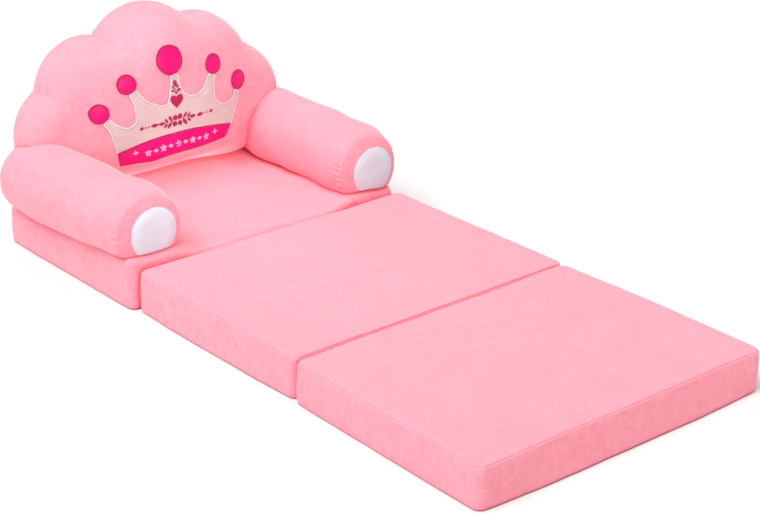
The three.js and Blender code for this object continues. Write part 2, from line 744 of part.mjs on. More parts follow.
function placeArm(name, side) {
  const saddle = underSeat(CLEARANCE);
  const skin = armForm(side, 0).subtract(armForm(side, COVER_WALL)).subtract(saddle);
  const half = CLEARANCE / 2;
  const slice = (fromY, toY) => boxSolid([-FAR, fromY, 0], [FAR, toY, FAR]);
  place(`${name}_sleeve`, skin.intersect(slice(ARM_FRONT_SEAM_Y + half, ARM_REAR_SEAM_Y - half)), plush);
  place(`${name}_front_panel`, skin.intersect(slice(-OVERRUN, ARM_FRONT_SEAM_Y - half)), plush);
  place(`${name}_rear_panel`, skin.intersect(slice(ARM_REAR_SEAM_Y + half, FAR)), plush);
  place(`${name}_filling`, armForm(side, COVER_WALL + CLEARANCE).subtract(saddle), fibre);
  const end = armCentre(side, ARM_FRONT_SEAM_Y);
  const disc = ellipseShape(
    end.x,
    end.z + ARM_PATCH_RISE,
    ARM_PATCH_RADIUS,
    ARM_PATCH_RADIUS,
    0,
    ELLIPSE_STEPS,
  );
  const patch = sheetOn(armForm(side, 0), prismOf(disc), CLEARANCE, PATCH_THICKNESS);
  place(`${name}_end_patch`, patch.subtract(saddle), whiteFleece);
}

function placeBackrest() {
  const outer = backForm(0);
  const away = underSeat(CLEARANCE)
    .add(armForm(-1, -CLEARANCE))
    .add(armForm(1, -CLEARANCE));
  const skin = outer.subtract(backForm(COVER_WALL)).subtract(away);
  place("backrest_front_panel", skin.intersect(beforeSeam(-CLEARANCE / 2)), plush);
  place("backrest_rear_panel", skin.subtract(beforeSeam(CLEARANCE / 2)), plush);
  place("backrest_filling", backForm(COVER_WALL + CLEARANCE).subtract(away), fibre);
  const first = CLEARANCE;
  const second = first + PATCH_THICKNESS + CLEARANCE;
  place("crown_patch", sheetOn(outer, prismOf(crownShape()), first, PATCH_THICKNESS), satin);
  place("crown_banner", sheetOn(outer, prismOf(bannerShape()), second, PATCH_THICKNESS), magenta);
  const gem = (name, { x, z, radius }) => {
    const round = prismOf(ellipseShape(x, z, radius, radius, 0, ELLIPSE_STEPS));
    place(name, sheetOn(outer, round, first, PATCH_THICKNESS), magenta);
  };
  gem("crown_gem_centre", CENTRE_GEM);
  gem("crown_gem_inner_right", { ...INNER_GEM, x: -INNER_GEM.x });
  gem("crown_gem_inner_left", INNER_GEM);
  gem("crown_gem_outer_right", { ...OUTER_GEM, x: -OUTER_GEM.x });
  gem("crown_gem_outer_left", OUTER_GEM);
  const stitched = (name, prism) =>
    place(name, sheetOn(outer, prism, second, STITCH_THICKNESS), embroidery);
  stitched("crown_heart", prismOf(heartShape()));
  stitched("crown_wreath", wreathPrism());
  stitched("crown_sprig", sprigPrism());
}

placeSlab("seat", SLABS.seat);
placeSlab("middle", SLABS.middle);
placeSlab("front", SLABS.front);
const topHingeZ = SLAB_HEIGHT - HINGE_DROP;
place("front_hinge_strip", hingeStrip(SLABS.middle.frontY - HALF_GAP, topHingeZ, HINGE_SAG), hingeCloth);
place("rear_hinge_strip", hingeStrip(0, SLAB_BOTTOM + REAR_HINGE_RISE, 0), hingeCloth);
placeArm("right_arm", -1);
placeArm("left_arm", 1);
placeBackrest();

const box = new THREE.Box3().setFromObject(chair);
chair.position.x = -(box.min.x + box.max.x) / 2;
chair.position.y = -(box.min.y + box.max.y) / 2;

export default chair;
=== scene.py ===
import math

import bmesh
import bpy
import numpy as np
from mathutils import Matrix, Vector
from mathutils.geometry import delaunay_2d_cdt


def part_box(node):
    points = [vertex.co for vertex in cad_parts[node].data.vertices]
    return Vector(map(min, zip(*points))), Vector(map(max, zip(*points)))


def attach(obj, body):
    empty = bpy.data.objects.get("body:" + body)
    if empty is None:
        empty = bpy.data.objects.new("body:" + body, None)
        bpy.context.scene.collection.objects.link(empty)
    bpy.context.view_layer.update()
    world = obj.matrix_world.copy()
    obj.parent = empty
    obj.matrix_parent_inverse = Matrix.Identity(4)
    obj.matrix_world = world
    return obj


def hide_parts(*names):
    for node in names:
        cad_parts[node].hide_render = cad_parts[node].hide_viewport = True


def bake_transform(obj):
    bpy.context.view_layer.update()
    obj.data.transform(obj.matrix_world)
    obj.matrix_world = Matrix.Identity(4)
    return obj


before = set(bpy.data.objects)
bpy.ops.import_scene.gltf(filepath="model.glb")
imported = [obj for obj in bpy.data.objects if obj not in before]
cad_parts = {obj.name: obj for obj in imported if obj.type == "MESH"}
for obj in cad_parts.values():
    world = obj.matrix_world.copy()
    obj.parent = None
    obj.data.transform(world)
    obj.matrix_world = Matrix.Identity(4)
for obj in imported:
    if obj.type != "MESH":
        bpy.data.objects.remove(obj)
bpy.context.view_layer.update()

MM = 0.001
FAR = 1e9
TINY = 1e-9
SEAT_SOLE_Y = 5.5
ORIGIN_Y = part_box("seat_sole")[0].y / MM - SEAT_SOLE_Y

# Slabs
SLAB_WIDTH = 500.0
SLAB_DEPTH = 378.0
SEAT_DEPTH = 352.0
SLAB_HEIGHT = 63.0
SLAB_CROWN = 1.5
SLAB_BOTTOM = 1.5
HALF_GAP = 1.5
PLAN_CORNER = 12.0
TOP_EDGE = 8.5
SOFT_EDGE = 6.0
BOTTOM_EDGE = 2.5
SOLE_INSET = 4.0
SOLE_TOP = 1.2
FOAM_INSET = 6.0
FOAM_BOTTOM = 3.0
FOAM_TOP_GAP = 7.0
ZIP_Z = 31.5
ZIP_MARGIN = 45.0

# The seat's top, over a plain slab's: lifts and drops, and where they rise or fade
LIFT = 17.0
LIFT_ACROSS = (105.0, 172.0)
LIFT_ALONG = (50.0, 290.0)
SEAT_SWELL = 3.0
SWELL_ACROSS = (100.0, 210.0)
SWELL_ALONG = (20.0, 140.0)
NOOK_LIFT = 12.0
NOOK = (168.0, 128.0)
NOOK_REACH = 30.0
FRONT_DROP = 3.5
FRONT_DROP_ACROSS = (120.0, 190.0)
FRONT_DROP_ALONG = (0.0, 50.0)
FAR_CORNER_DROP = 7.0
FAR_CORNER_ACROSS = (195.0, 250.0)
FAR_CORNER_ALONG = (10.0, 110.0)
MIDDLE_LIFT = 1.5
MIDDLE_LIFT_ALONG = (129.0, 184.0)

# Arms
ARM_RADIUS = 63.0
ARM_FRONT_X = {-1: 207.0, 1: 208.8}
ARM_REAR_X = {-1: 221.5, 1: 223.0}
ARM_AXIS_Z = 113.5
ARM_FRONT_Y = 10.3
ARM_REAR_Y = 330.0
ARM_FRONT_RADIUS = 54.5
ARM_REAR_RADIUS = 53.0
ARM_FRONT_SHOULDER = 46.0
ARM_REAR_SHOULDER = 60.0
ARM_NOSE = 8.0
ARM_TAIL = 17.0
NOSE_POWER = 3.2
TAIL_POWER = 2.2
ARM_FRONT_DROP = 3.5
ARM_LAP = 5.0
ARM_WALL = 4.5
DISC_RADIUS = {-1: 40.2, 1: 39.3}
DISC_SHIFT = {-1: (4.8, -1.0), 1: (5.0, -1.0)}
END_GAP = 0.35
END_INSET = 0.3
ARM_AROUND = 288
PLEATS = 30
PLEAT_REACH = 45.0

# Backrest: lobes as across, up along the lean, radius
LOBES = [
    (-162.7, 106.5, 77.9),
    (-106.3, 162.7, 89.2),
    (4.6, 179.1, 108.6),
    (98.7, 168.9, 88.6),
    (164.4, 117.6, 78.0),
]
SIDE_START = math.radians(202)
OUTLINE_STEP = 2.6
BACK_Y = 308.0
BACK_Z = 64.0
BACK_LEAN = math.radians(6)
BACK_FRONT_CROWN = 57.0
BACK_REAR_CROWN = 30.0
BACK_WALL = 13.0
WALL_BULGE = 1.2
BACK_HUB = (0.0, 112.0)
BACK_HALF = 232.0
BACK_FOOT = 1.0
FOOT_COUNT = 120
FOOT_SHIFT = 28.0
FOOT_REACH = 70.0
SWELL_POWER = 0.45
SWELL_REACH = 22.0
UNDER_REACH = 56.0
UNDER_POWER = 1.3
SIDE_UNDER_POWER = 0.5
UNDER_ACROSS = (60.0, 160.0)
BULGE_HALF = 175.0
BULGE_POWER = 1.2
BULGE_LOW = 21.0
BULGE_HIGH = 33.0
BULGE_UP = (60.0, 210.0)
LINING = 3.0
GRID_STEP = 4.0
GRID_LEFT = -248.0
GRID_TOP = 301.0

# Lumps of each surface, as wavelength and height
WALL_LUMPS = ((46, 0.35),)
TOP_LUMPS = ((150, 0.9), (62, 0.28))
ARM_LUMPS = ((125, 1.5), (52, 0.55))
FRONT_LUMPS = ((150, 1.3), (60, 0.35))
REAR_LUMPS = ((130, 2.0), (55, 0.6))
LUMPS_START = (6.0, 60.0)


# Numbers
WAVE_COUNT = 9


def smooth_step(value, low, high):
    share = np.clip((value - low) / (high - low), 0, 1)
    return share * share * (3 - 2 * share)


def bump(distance, width):
    return np.exp(-((distance / width) ** 2))


def waves(points, wavelength, seed):
    """Smooth noise of about -1 to 1 at each point, from random waves."""
    rng = np.random.default_rng(seed)
    ways = rng.normal(size=(WAVE_COUNT, points.shape[-1]))
    ways /= np.linalg.norm(ways, axis=1, keepdims=True)
    ways *= 2 * np.pi / wavelength * rng.uniform(0.6, 1.5, (WAVE_COUNT, 1))
    phases = rng.uniform(0, 2 * np.pi, WAVE_COUNT)
    return np.sin(points @ ways.T + phases).sum(-1) / math.sqrt(WAVE_COUNT * 0.9)


def lumps(points, sizes, seed):
    return sum(high * waves(points, long, seed + i) for i, (long, high) in enumerate(sizes))


def turns(count):
    return np.arange(count) / count * 2 * np.pi


def around(angle):
    return np.stack([np.cos(angle), np.sin(angle)], -1)


def turned(flat, angle):
    cos, sin = math.cos(angle), math.sin(angle)
    return flat @ np.array([[cos, sin], [-sin, cos]])


# Meshes
def to_frame(points):
    return (np.asarray(points, float) + [0, ORIGIN_Y, 0]) * MM


def add_object(name, data):
    holder = bpy.data.objects.new(name, data)
    bpy.context.scene.collection.objects.link(holder)
    return holder


def add_mesh(name, points, faces, material):
    mesh = bpy.data.meshes.new(name)
    mesh.from_pydata(to_frame(points).tolist(), [], faces)
    work = bmesh.new()
    work.from_mesh(mesh)
    bmesh.ops.recalc_face_normals(work, faces=work.faces)
    work.to_mesh(mesh)
    work.free()
    mesh.polygons.foreach_set("use_smooth", np.ones(len(mesh.polygons), bool))
    mesh.update()
    mesh.materials.append(material)
    return add_object(name, mesh)


def set_run(piece, run):
    """Keeps how far along its stitching each point lies: run is in millimetres, kept in metres."""
    field = piece.data.attributes.new("run", "FLOAT", "POINT")
    field.data.foreach_set("value", np.resize(run, len(piece.data.vertices)) * MM)


def loft(rings, start=None, end=None, ring_closed=True, closed=False):
    """Points and faces of a skin through rings of equal length, and any hubs at its ends."""
    rings = np.asarray(rings, float)
    rows, count = rings.shape[:2]
    column = np.arange(count if ring_closed else count - 1)
    after = (column + 1) % count
    faces = []
    for row in range(rows if closed else rows - 1):
        low, high = row * count, (row + 1) % rows * count
        faces += np.stack([low + column, low + after, high + after, high + column], 1).tolist()
    points = rings.reshape(-1, 3)
    for hub, base, a, b in ((start, 0, after, column), (end, (rows - 1) * count, column, after)):
        if hub is not None:
            faces += [[len(points), int(base + i), int(base + j)] for i, j in zip(a, b)]
            points = np.concatenate([points, [hub]])
    return points, faces


def add_closed(name, rings, material):
    """A piece through rings, closed over the middles of the first and the last one."""
    return add_mesh(name, *loft(rings, rings[0].mean(0), rings[-1].mean(0)), material)


# Loops of points in a plane
def run_along(line):
    steps = np.linalg.norm(np.diff(line, axis=0), axis=1)
    return np.concatenate([[0], np.cumsum(steps)])


def run_around(loop):
    return np.cumsum(np.linalg.norm(np.roll(loop, -1, 0) - loop, axis=1))


def distance_to(flat, start, run):
    """Distance of points to the nearest of the lines that begin at start and run on by run."""
    length = np.maximum((run**2).sum(1), TINY)
    nearest = np.empty(len(flat))
    batch = 3000
    for first in range(0, len(flat), batch):
        apart = flat[first : first + batch, None] - start
        share = np.clip((apart * run).sum(-1) / length, 0, 1)
        distance = np.linalg.norm(apart - share[..., None] * run, axis=-1)
        nearest[first : first + batch] = distance.min(1)
    return nearest


def loop_distance(flat, loop):
    return distance_to(flat, loop, np.roll(loop, -1, axis=0) - loop)


def inside_loop(flat, loop):
    x, z = flat[:, 0:1], flat[:, 1:2]
    ax, az = loop.T
    bx, bz = np.roll(ax, -1), np.roll(az, -1)
    crosses = (az > z) != (bz > z)
    at = ax + (z - az) * (bx - ax) / np.where(bz == az, TINY, bz - az)
    return (crosses & (x < at)).sum(1) % 2 == 1


def smooth_curve(points, closed=True, per_span=8, sharp=()):
    """A Catmull-Rom curve through points, with corners kept at the sharp ones."""
    points = np.asarray(points, float)
    count = len(points)
    out = []
    for i in range(count if closed else count - 1):
        a, b = points[i], points[(i + 1) % count]
        before = points[i - 1] if closed or i else a
        after = points[(i + 2) % count] if closed or i + 2 < count else b
        lead_in = (b - before) / 2 if i not in sharp else (b - a) * 0.6
        lead_out = (after - a) / 2 if (i + 1) % count not in sharp else (b - a) * 0.6
        share = np.arange(per_span)[:, None] / per_span
        s2, s3 = share**2, share**3
        kept = (2 * s3 - 3 * s2 + 1) * a + (3 * s2 - 2 * s3) * b
        out.append(kept + (s3 - 2 * s2 + share) * lead_in + (s3 - s2) * lead_out)
    if not closed:
        out.append(points[-1:])
    return np.concatenate(out)


def even(loop, spacing, closed=True):
    """The loop, cut again into even steps."""
    loop = np.asarray(loop, float)
    if closed:
        loop = np.concatenate([loop, loop[:1]])
    run = run_along(loop)
    at = np.linspace(0, run[-1], max(int(run[-1] / spacing), 8) + 1)
    out = np.column_stack([np.interp(at, run, side) for side in loop.T])
    return out[:-1] if closed else out


def left_of(way):
    """Unit normals to the left of ways in a plane."""
    way = way / np.linalg.norm(way, axis=1, keepdims=True)
    return np.column_stack([-way[:, 1], way[:, 0]])


def loop_inset(loop, distance):
    """The loop moved inwards along its own normals."""
    way = np.zeros_like(loop)
    for step in (np.roll(loop, -1, 0) - loop, loop - np.roll(loop, 1, 0)):
        way += step / np.linalg.norm(step, axis=1, keepdims=True)
    after = np.roll(loop, -1, 0)
    area = (loop[:, 0] * after[:, 1] - loop[:, 1] * after[:, 0]).sum()
    return loop + left_of(way) * distance * (1 if area > 0 else -1)


def filled(loop, spacing):
    """Triangles that fill a loop, with a lattice of points inside it."""
    low, high = loop.min(0), loop.max(0)
    lattice = []
    for index, z in enumerate(np.arange(low[1], high[1], spacing * 0.87)):
        x = np.arange(low[0] + (index % 2) * spacing / 2, high[0], spacing)
        lattice.append(np.column_stack([x, np.full(len(x), z)]))
    lattice = np.concatenate(lattice)
    keep = inside_loop(lattice, loop) & (loop_distance(lattice, loop) > spacing * 0.55)
    flat = np.concatenate([loop, lattice[keep]])
    edges = [(i, (i + 1) % len(loop)) for i in range(len(loop))]
    points, _, faces, *_ = delaunay_2d_cdt([Vector(p) for p in flat.tolist()], edges, [], 1, 1e-6)
    flat = np.array([tuple(point) for point in points])
    faces = np.array([face for face in faces if len(face) == 3])
    return flat, faces[inside_loop(flat[faces].mean(1), loop)]


def rim_of(faces):
    """Directed edges that only one triangle uses."""
    edges = [(a, b) for face in faces.tolist() for a, b in zip(face, face[1:] + face[:1])]
    seen = dict.fromkeys(edges)
    return [(a, b) for a, b in seen if (b, a) not in seen]


# Slabs
# Each slab's place, its zip's side and depth, how far its two sides stand out from rear to front,
# how far its side and front walls flare at the foot, and how far the near ends of its rear and
# front joints are drawn to the front
SLABS = {
    "seat": dict(
        x=0.0, front=HALF_GAP, depth=SEAT_DEPTH, zip=(0, 1), slit=2.2, soft_front=1.0,
        low_side=(0.5, 0.5, 0.5, 2), high_side=(1, 1, 1.5, 5.5), flare=(2, 0), skew=(0, 6),
    ),
    "middle": dict(
        x=10.0, front=-HALF_GAP - SLAB_DEPTH, depth=SLAB_DEPTH, zip=(1, 0), slit=2.2,
        soft_front=0.0, low_side=(2, 3, 3, 2.5), high_side=(3.5, 4.5, 4.5, 4), flare=(3.5, 0),
        skew=(6, 7),
    ),
    "front": dict(
        x=4.0, front=-3 * HALF_GAP - 2 * SLAB_DEPTH, depth=SLAB_DEPTH, zip=(0, -1), slit=0.3,
        soft_front=0.0, low_side=(0, 1.5, 3.5, 6.5), high_side=(6, 10, 8.5, 4), flare=(1.5, 5),
        skew=(7, 0),
    ),
}
# Rings of a cover's foot and wall, finer where the zip lies, and of its top edge by its seam
FOOT_RINGS = ((60, 1.7), (20, 1.6), (9, 1.5), (5.5, 1.5))
WALL_SHARES = np.concatenate(
    [
        [0.06, 0.13, 0.21, 0.29, 0.36, 0.42],
        0.5474 + np.linspace(-0.085, 0.085, 19),
        [0.68, 0.75, 0.82, 0.89, 0.95, 1.0],
    ]
)
EDGE_SEAM = math.radians(38)
EDGE_ANGLES = np.unique(
    np.concatenate(
        [np.linspace(0.06, math.pi / 2, 12), EDGE_SEAM + np.linspace(-0.32, 0.32, 13)]
    )
)
TOP_SHARES = np.concatenate([[0.994, 0.986], np.linspace(0.975, 0.03, 34)])


def seat_lift(x, y):
    """How far the seat's top lies over a plain slab's, at a point given from its centre."""
    side, from_front = np.abs(x), SEAT_DEPTH / 2 + y
    corners = 1 - smooth_step(from_front + HALF_GAP, *LIFT_ALONG)
    lift = LIFT * smooth_step(side, *LIFT_ACROSS) * corners
    swell = (1 - smooth_step(side, *SWELL_ACROSS)) * smooth_step(y, *SWELL_ALONG)
    # The cover is pinched up where the seat, an arm and the backrest meet
    nook = bump(np.hypot(side - NOOK[0], y - NOOK[1]), NOOK_REACH)
    front = 1 - smooth_step(from_front, *FRONT_DROP_ALONG)
    front = front * (1 - smooth_step(side, *FRONT_DROP_ACROSS))
    corner = smooth_step(x, *FAR_CORNER_ACROSS) * (1 - smooth_step(from_front, *FAR_CORNER_ALONG))
    lift = lift + SEAT_SWELL * swell + NOOK_LIFT * nook
    return lift - FRONT_DROP * front - FAR_CORNER_DROP * corner


def slab_height(slab, x, y):
    """Height of the top skin at a point given from the slab's centre."""
    across = np.maximum(1 - (x / (SLAB_WIDTH / 2)) ** 2, 0)
    along = np.maximum(1 - (y / (slab["depth"] / 2)) ** 2, 0)
    height = SLAB_HEIGHT + SLAB_CROWN * across * along
    if slab is SLABS["seat"]:
        return height + seat_lift(x, y)
    if slab is SLABS["middle"]:
        return height + MIDDLE_LIFT * smooth_step(y, *MIDDLE_LIFT_ALONG)
    return height


def plan_outline(slab, inset, step, corner_count):
    """Points of a slab's round-cornered plan, their outward normals and their run along it."""
    half = np.array([SLAB_WIDTH, slab["depth"]]) / 2 - inset
    corner = PLAN_CORNER - inset
    arcs = []
    for quadrant, sign in enumerate([(1, 1), (-1, 1), (-1, -1), (1, -1)]):
        way = around((quadrant + np.linspace(0, 1, corner_count)) * math.pi / 2)
        arcs.append((np.array(sign) * (half - corner) + corner * way, way))
    points, normals = [], []
    for (arc, way), (next_arc, _) in zip(arcs, arcs[1:] + arcs[:1]):
        side = next_arc[0] - arc[-1]
        count = max(int(np.linalg.norm(side) / step), 2)
        share = (np.arange(1, count) / count)[:, None]
        points += [arc, arc[-1] + side * share]
        normals += [way, np.repeat(way[-1:], count - 1, axis=0)]
    points, normals = np.concatenate(points), np.concatenate(normals)
    return points, normals, run_around(points)


def side_growth(slab, flat):
    """How far each side of a slab's plan stands out across its joint, at points of the plan."""
    along = 0.5 - flat[:, 1] / slab["depth"]
    low, high = (np.interp(along, (0, 0.3, 0.6, 1), slab[key]) for key in ("low_side", "high_side"))
    share = flat[:, 0] / (SLAB_WIDTH / 2)
    return np.where(share < 0, low, high) * share


def slab_centre(slab):
    return np.array([slab["x"], slab["front"] + slab["depth"] / 2])


def placed(slab, flat, height):
    """Points of a slab's plan in their place, with the joints' near ends drawn to the front."""
    rear, front = slab["skew"]
    along = np.clip(0.5 - flat[:, 1] / slab["depth"], 0, 1)
    turn = np.clip(0.5 - flat[:, 0] / SLAB_WIDTH, 0, 1)
    x, y = (flat + slab_centre(slab)).T
    drawn = (rear + (front - rear) * along) * turn
    return np.column_stack([x, y - drawn, np.broadcast_to(height, len(flat))])


def add_slab(name, slab, rings, material):
    """A piece of a slab's shape, closed under its first ring and over its last one."""
    ends = [[*slab_centre(slab), ring[:, 2].mean()] for ring in (rings[0], rings[-1])]
    return add_mesh(name, *loft(rings, *ends), material)


def slab_cover(name, seed, material):
    slab = SLABS[name]
    base, outward, run = plan_outline(slab, 0, 5.5, 11)
    base[:, 0] += side_growth(slab, base)
    half = np.array([SLAB_WIDTH, slab["depth"]]) / 2
    wobble = 0.9 * waves(base, 210, seed)
    rings = []

    def ring(push, height):
        rings.append(placed(slab, base + outward * np.asarray(push)[..., None], height))

    # The zip's slit, and the faint seam that carries it on around the corners
    zip_way = np.array(slab["zip"], float)
    zip_half = half @ np.abs(zip_way[::-1]) - ZIP_MARGIN
    zip_end = smooth_step(np.abs(base @ zip_way[::-1]), zip_half, zip_half + 2)
    zip_here = (outward @ zip_way > 0.995) * (1 - zip_end)
    zip_line = smooth_step(outward @ zip_way, 0.1, 0.6) * (1 - zip_here)
    near_corner = smooth_step((np.abs(base) / half).sum(1), 1.78, 1.95)

    # The foot, flared to the side and the front
    side_flare, front_flare = slab["flare"]
    bow = 1 - (base / half) ** 2
    to_side, to_front = np.maximum(-outward, 0).T
    flare = side_flare * to_side * np.clip(0.3 + bow[:, 1], 0, 1)
    flare = flare + front_flare * to_front * np.clip(bow[:, 0] * 1.4, 0, 1)
    for inset, height in FOOT_RINGS:
        ring(-inset, height)
    hem = 0.2 * waves(base, 70, seed + 1)
    for angle in np.radians([8, 28, 50, 70, 88]):
        push = hem + flare - BOTTOM_EDGE * (1 - math.sin(angle))
        ring(push, SLAB_BOTTOM + BOTTOM_EDGE * (1 - math.cos(angle)))

    # The wall
    top = slab_height(slab, *base.T)
    soft = np.clip(-outward[:, 1], 0, 1) * slab["soft_front"]
    edge = TOP_EDGE + SOFT_EDGE * soft
    foot = SLAB_BOTTOM + BOTTOM_EDGE
    for share in WALL_SHARES:
        height = foot + (top - edge - foot) * share
        from_zip = height - ZIP_Z
        slit = slab["slit"] * (bump(from_zip, 0.8) - bump(np.abs(from_zip) - 2.2, 1.5) * 0.3)
        faint = bump(from_zip, 0.9) * (0.15 + 0.4 * near_corner)
        push = 1.3 * math.sin(math.pi * share) ** 0.8 + wobble * share
        push = push + lumps(np.column_stack([base, height * 0.6]), WALL_LUMPS, seed + 2)
        push = push + flare * (1 - share) ** 1.5 - zip_here * slit - zip_line * faint
        ring(push, height)

    # The rounded top edge with its seam
    gather = np.sin(run / 4.3 + 2.2 * waves(base, 35, seed + 3)) * 0.16
    for angle in EDGE_ANGLES:
        apart = (angle - EDGE_SEAM) * edge
        swell = 0.4 * bump(apart - 2.0, 1.6) * (1 + 2.5 * gather) + 0.15 * bump(apart + 2, 1.6)
        groove = 0.75 * bump(apart, 0.7) * (1 + 1.2 * gather)
        out = (swell - groove) * (1 - soft)
        push = out * math.cos(angle) + wobble - edge * (1 - math.cos(angle))
        ring(push, top - edge * (1 - math.sin(angle)) + out * math.sin(angle))

    # The top
    for share in TOP_SHARES:
        plan = (base - outward * edge[:, None]) * share
        lumpy = lumps(plan, TOP_LUMPS, seed + 4) * smooth_step(1 - share, 0, 0.12)
        flat = plan + outward * (wobble * share**8)[:, None]
        rings.append(placed(slab, flat, slab_height(slab, *plan.T) + lumpy))
    return add_slab(f"{name}_plush_cover", slab, rings, material)


def slab_block(name, material):
    """The foam inside a cover."""
    slab = SLABS[name]
    base, outward, _ = plan_outline(slab, FOAM_INSET, 24, 6)
    top = slab_height(slab, *base.T) - FOAM_TOP_GAP
    levels = [(back, FOAM_BOTTOM + up) for back, up in ((6, 0), (2, 1.2), (0, 6))]
    levels += [(back, top - drop) for back, drop in ((0, 11), (1.5, 5), (4, 1.8), (9, 0))]
    rings = [placed(slab, base - outward * back, height) for back, height in levels]
    for share in (0.8, 0.5, 0.2):
        plan = (base - outward * 9) * share
        rings.append(placed(slab, plan, slab_height(slab, *plan.T) - FOAM_TOP_GAP))
    return add_slab(f"{name}_foam_block", slab, rings, material)


def sole_sheet(name, material):
    slab = SLABS[name]
    base, outward, _ = plan_outline(slab, SOLE_INSET, 12, 7)
    levels = ((0.5, 0.0), (0, 0.5), (0.4, SOLE_TOP))
    rings = [placed(slab, base - outward * inset, height) for inset, height in levels]
    rings += [placed(slab, base * share, SOLE_TOP) for share in (0.9, 0.5)]
    return add_slab(f"{name}_grip_sheet", slab, rings, material)


def rest_on_seat(points, gap, softness=2.2):
    """The points, kept a gap above the seat's top skin with a soft bend."""
    points = np.array(points, float)
    seat = SLABS["seat"]
    x = np.clip(points[..., 0], -SLAB_WIDTH / 2, SLAB_WIDTH / 2)
    y = np.clip(points[..., 1] - slab_centre(seat)[1], -SEAT_DEPTH / 2, SEAT_DEPTH / 2)
    floor = slab_height(seat, x, y) + gap
    points[..., 2] = floor + softness * np.logaddexp(0, (points[..., 2] - floor) / softness)
    return points


def hinge_cloth(name, joint_y, height, sag, skew, material):
    """The cloth strip across a joint, as a thin closed band."""
    half_width, reach, half = 226.0, 6.0, 0.4
    across = np.linspace(-reach, reach, 13)
    middle = height - sag * np.cos(across / reach * math.pi / 2)
    y = np.concatenate([across, across[::-1]])
    z = np.concatenate([middle + half, middle[::-1] - half])
    rings = []
    for x in np.linspace(-half_width, half_width, 91):
        ripple = 0.12 * math.sin(x / 5.1) + 0.1 * math.sin(x / 13.7)
        drawn = joint_y - skew * (0.5 - x / SLAB_WIDTH)
        rings.append(np.column_stack([np.full(len(y), x), drawn + y, z + ripple]))
    return add_closed(name, rings, material)


# Arms
ARM_TURNS = turns(ARM_AROUND)
ARM_UNIT = around(ARM_TURNS)
# Rings of a sleeve by distance from its end, and of an end by share of its radius
SLEEVE_STEPS = np.array([0, 0.5, 1.2, 2.2, 3.4, 5, 7, 9.5, 12.5, 16, 20, 24, 28, 33, 39])
END_SHARES = (
    0.998, 1.0, 0.995, 0.985, 0.97, 0.95, 0.92, 0.88, 0.83, 0.77, 0.7, 0.6, 0.5, 0.4, 0.3, 0.2,
    0.1, 0.03,
)
END_LINING_SHARES = (0.05, 0.3, 0.6, 0.85, 0.96)
# Each end's seam, way out, radius, depth and the power of its dome
ARM_ENDS = {
    "front": (ARM_FRONT_Y, -1, ARM_FRONT_RADIUS, ARM_NOSE, NOSE_POWER),
    "rear": (ARM_REAR_Y, 1, ARM_REAR_RADIUS, ARM_TAIL, TAIL_POWER),
}
# Rings of the white disc: share of its radius, and how far they stand proud
DISC_PROFILE = (
    (0.97, -1.2), (1.0, -0.6), (1.0, 0.2), (0.985, 0.75), (0.96, 1.05), (0.93, 0.98),
    (0.915, 0.97), (0.89, 1.25), (0.84, 1.7), (0.76, 2.1), (0.66, 2.4), (0.55, 2.4),
    (0.44, 2.4), (0.33, 2.4), (0.22, 2.4), (0.11, 2.4), (0.04, 2.4),
)


def front_shoulder(y):
    """1 at an arm's front seam, 0 from where its front shoulder ends."""
    return 1 - np.clip((y - ARM_FRONT_Y) / ARM_FRONT_SHOULDER, 0, 1)


def arm_radius(y):
    rear = 1 - np.clip((ARM_REAR_Y - y) / ARM_REAR_SHOULDER, 0, 1)
    loss = (ARM_RADIUS - ARM_FRONT_RADIUS) * front_shoulder(y) ** 2
    return ARM_RADIUS - loss - (ARM_RADIUS - ARM_REAR_RADIUS) * rear**2


def arm_centre(side, y):
    share = (y - ARM_FRONT_Y) / (ARM_REAR_Y - ARM_FRONT_Y)
    x = side * (ARM_FRONT_X[side] + (ARM_REAR_X[side] - ARM_FRONT_X[side]) * share)
    return x, ARM_AXIS_Z - ARM_FRONT_DROP * front_shoulder(y) ** 2


def arm_ring(side, y, radius, seam=None):
    """A ring around an arm's axis at y, or around where the axis meets its end's seam."""
    x, z = arm_centre(side, y if seam is None else seam)
    cos, sin = ARM_UNIT.T
    return np.column_stack([x + radius * cos, np.full(ARM_AROUND, y), z - radius * sin])


def pleat_marks(seed):
    """Each pleat's angle, slant, length and depth."""
    rng = np.random.default_rng(seed)
    at = (np.arange(PLEATS) + rng.uniform(-0.35, 0.35, PLEATS)) * 2 * np.pi / PLEATS
    ranges = ((-0.5, 0.5), (5, 20), (0.2, 1.3))
    return list(zip(at, *(rng.uniform(low, high, PLEATS) for low, high in ranges)))


def pleat_grooves(apart, marks):
    """Short narrow folds that run from a seam along the sleeve."""
    groove = np.zeros(ARM_AROUND)
    for at, slant, length, depth in marks:
        turn = (ARM_TURNS - at - slant * apart / 100 + np.pi) % (2 * np.pi) - np.pi
        across = turn * ARM_RADIUS
        along = math.exp(-((apart / length) ** 2)) * min(apart / 1.5, 1)
        groove += depth * along * (bump(across, 1.2) - 0.5 * bump(np.abs(across) - 3.0, 1.6))
    return groove


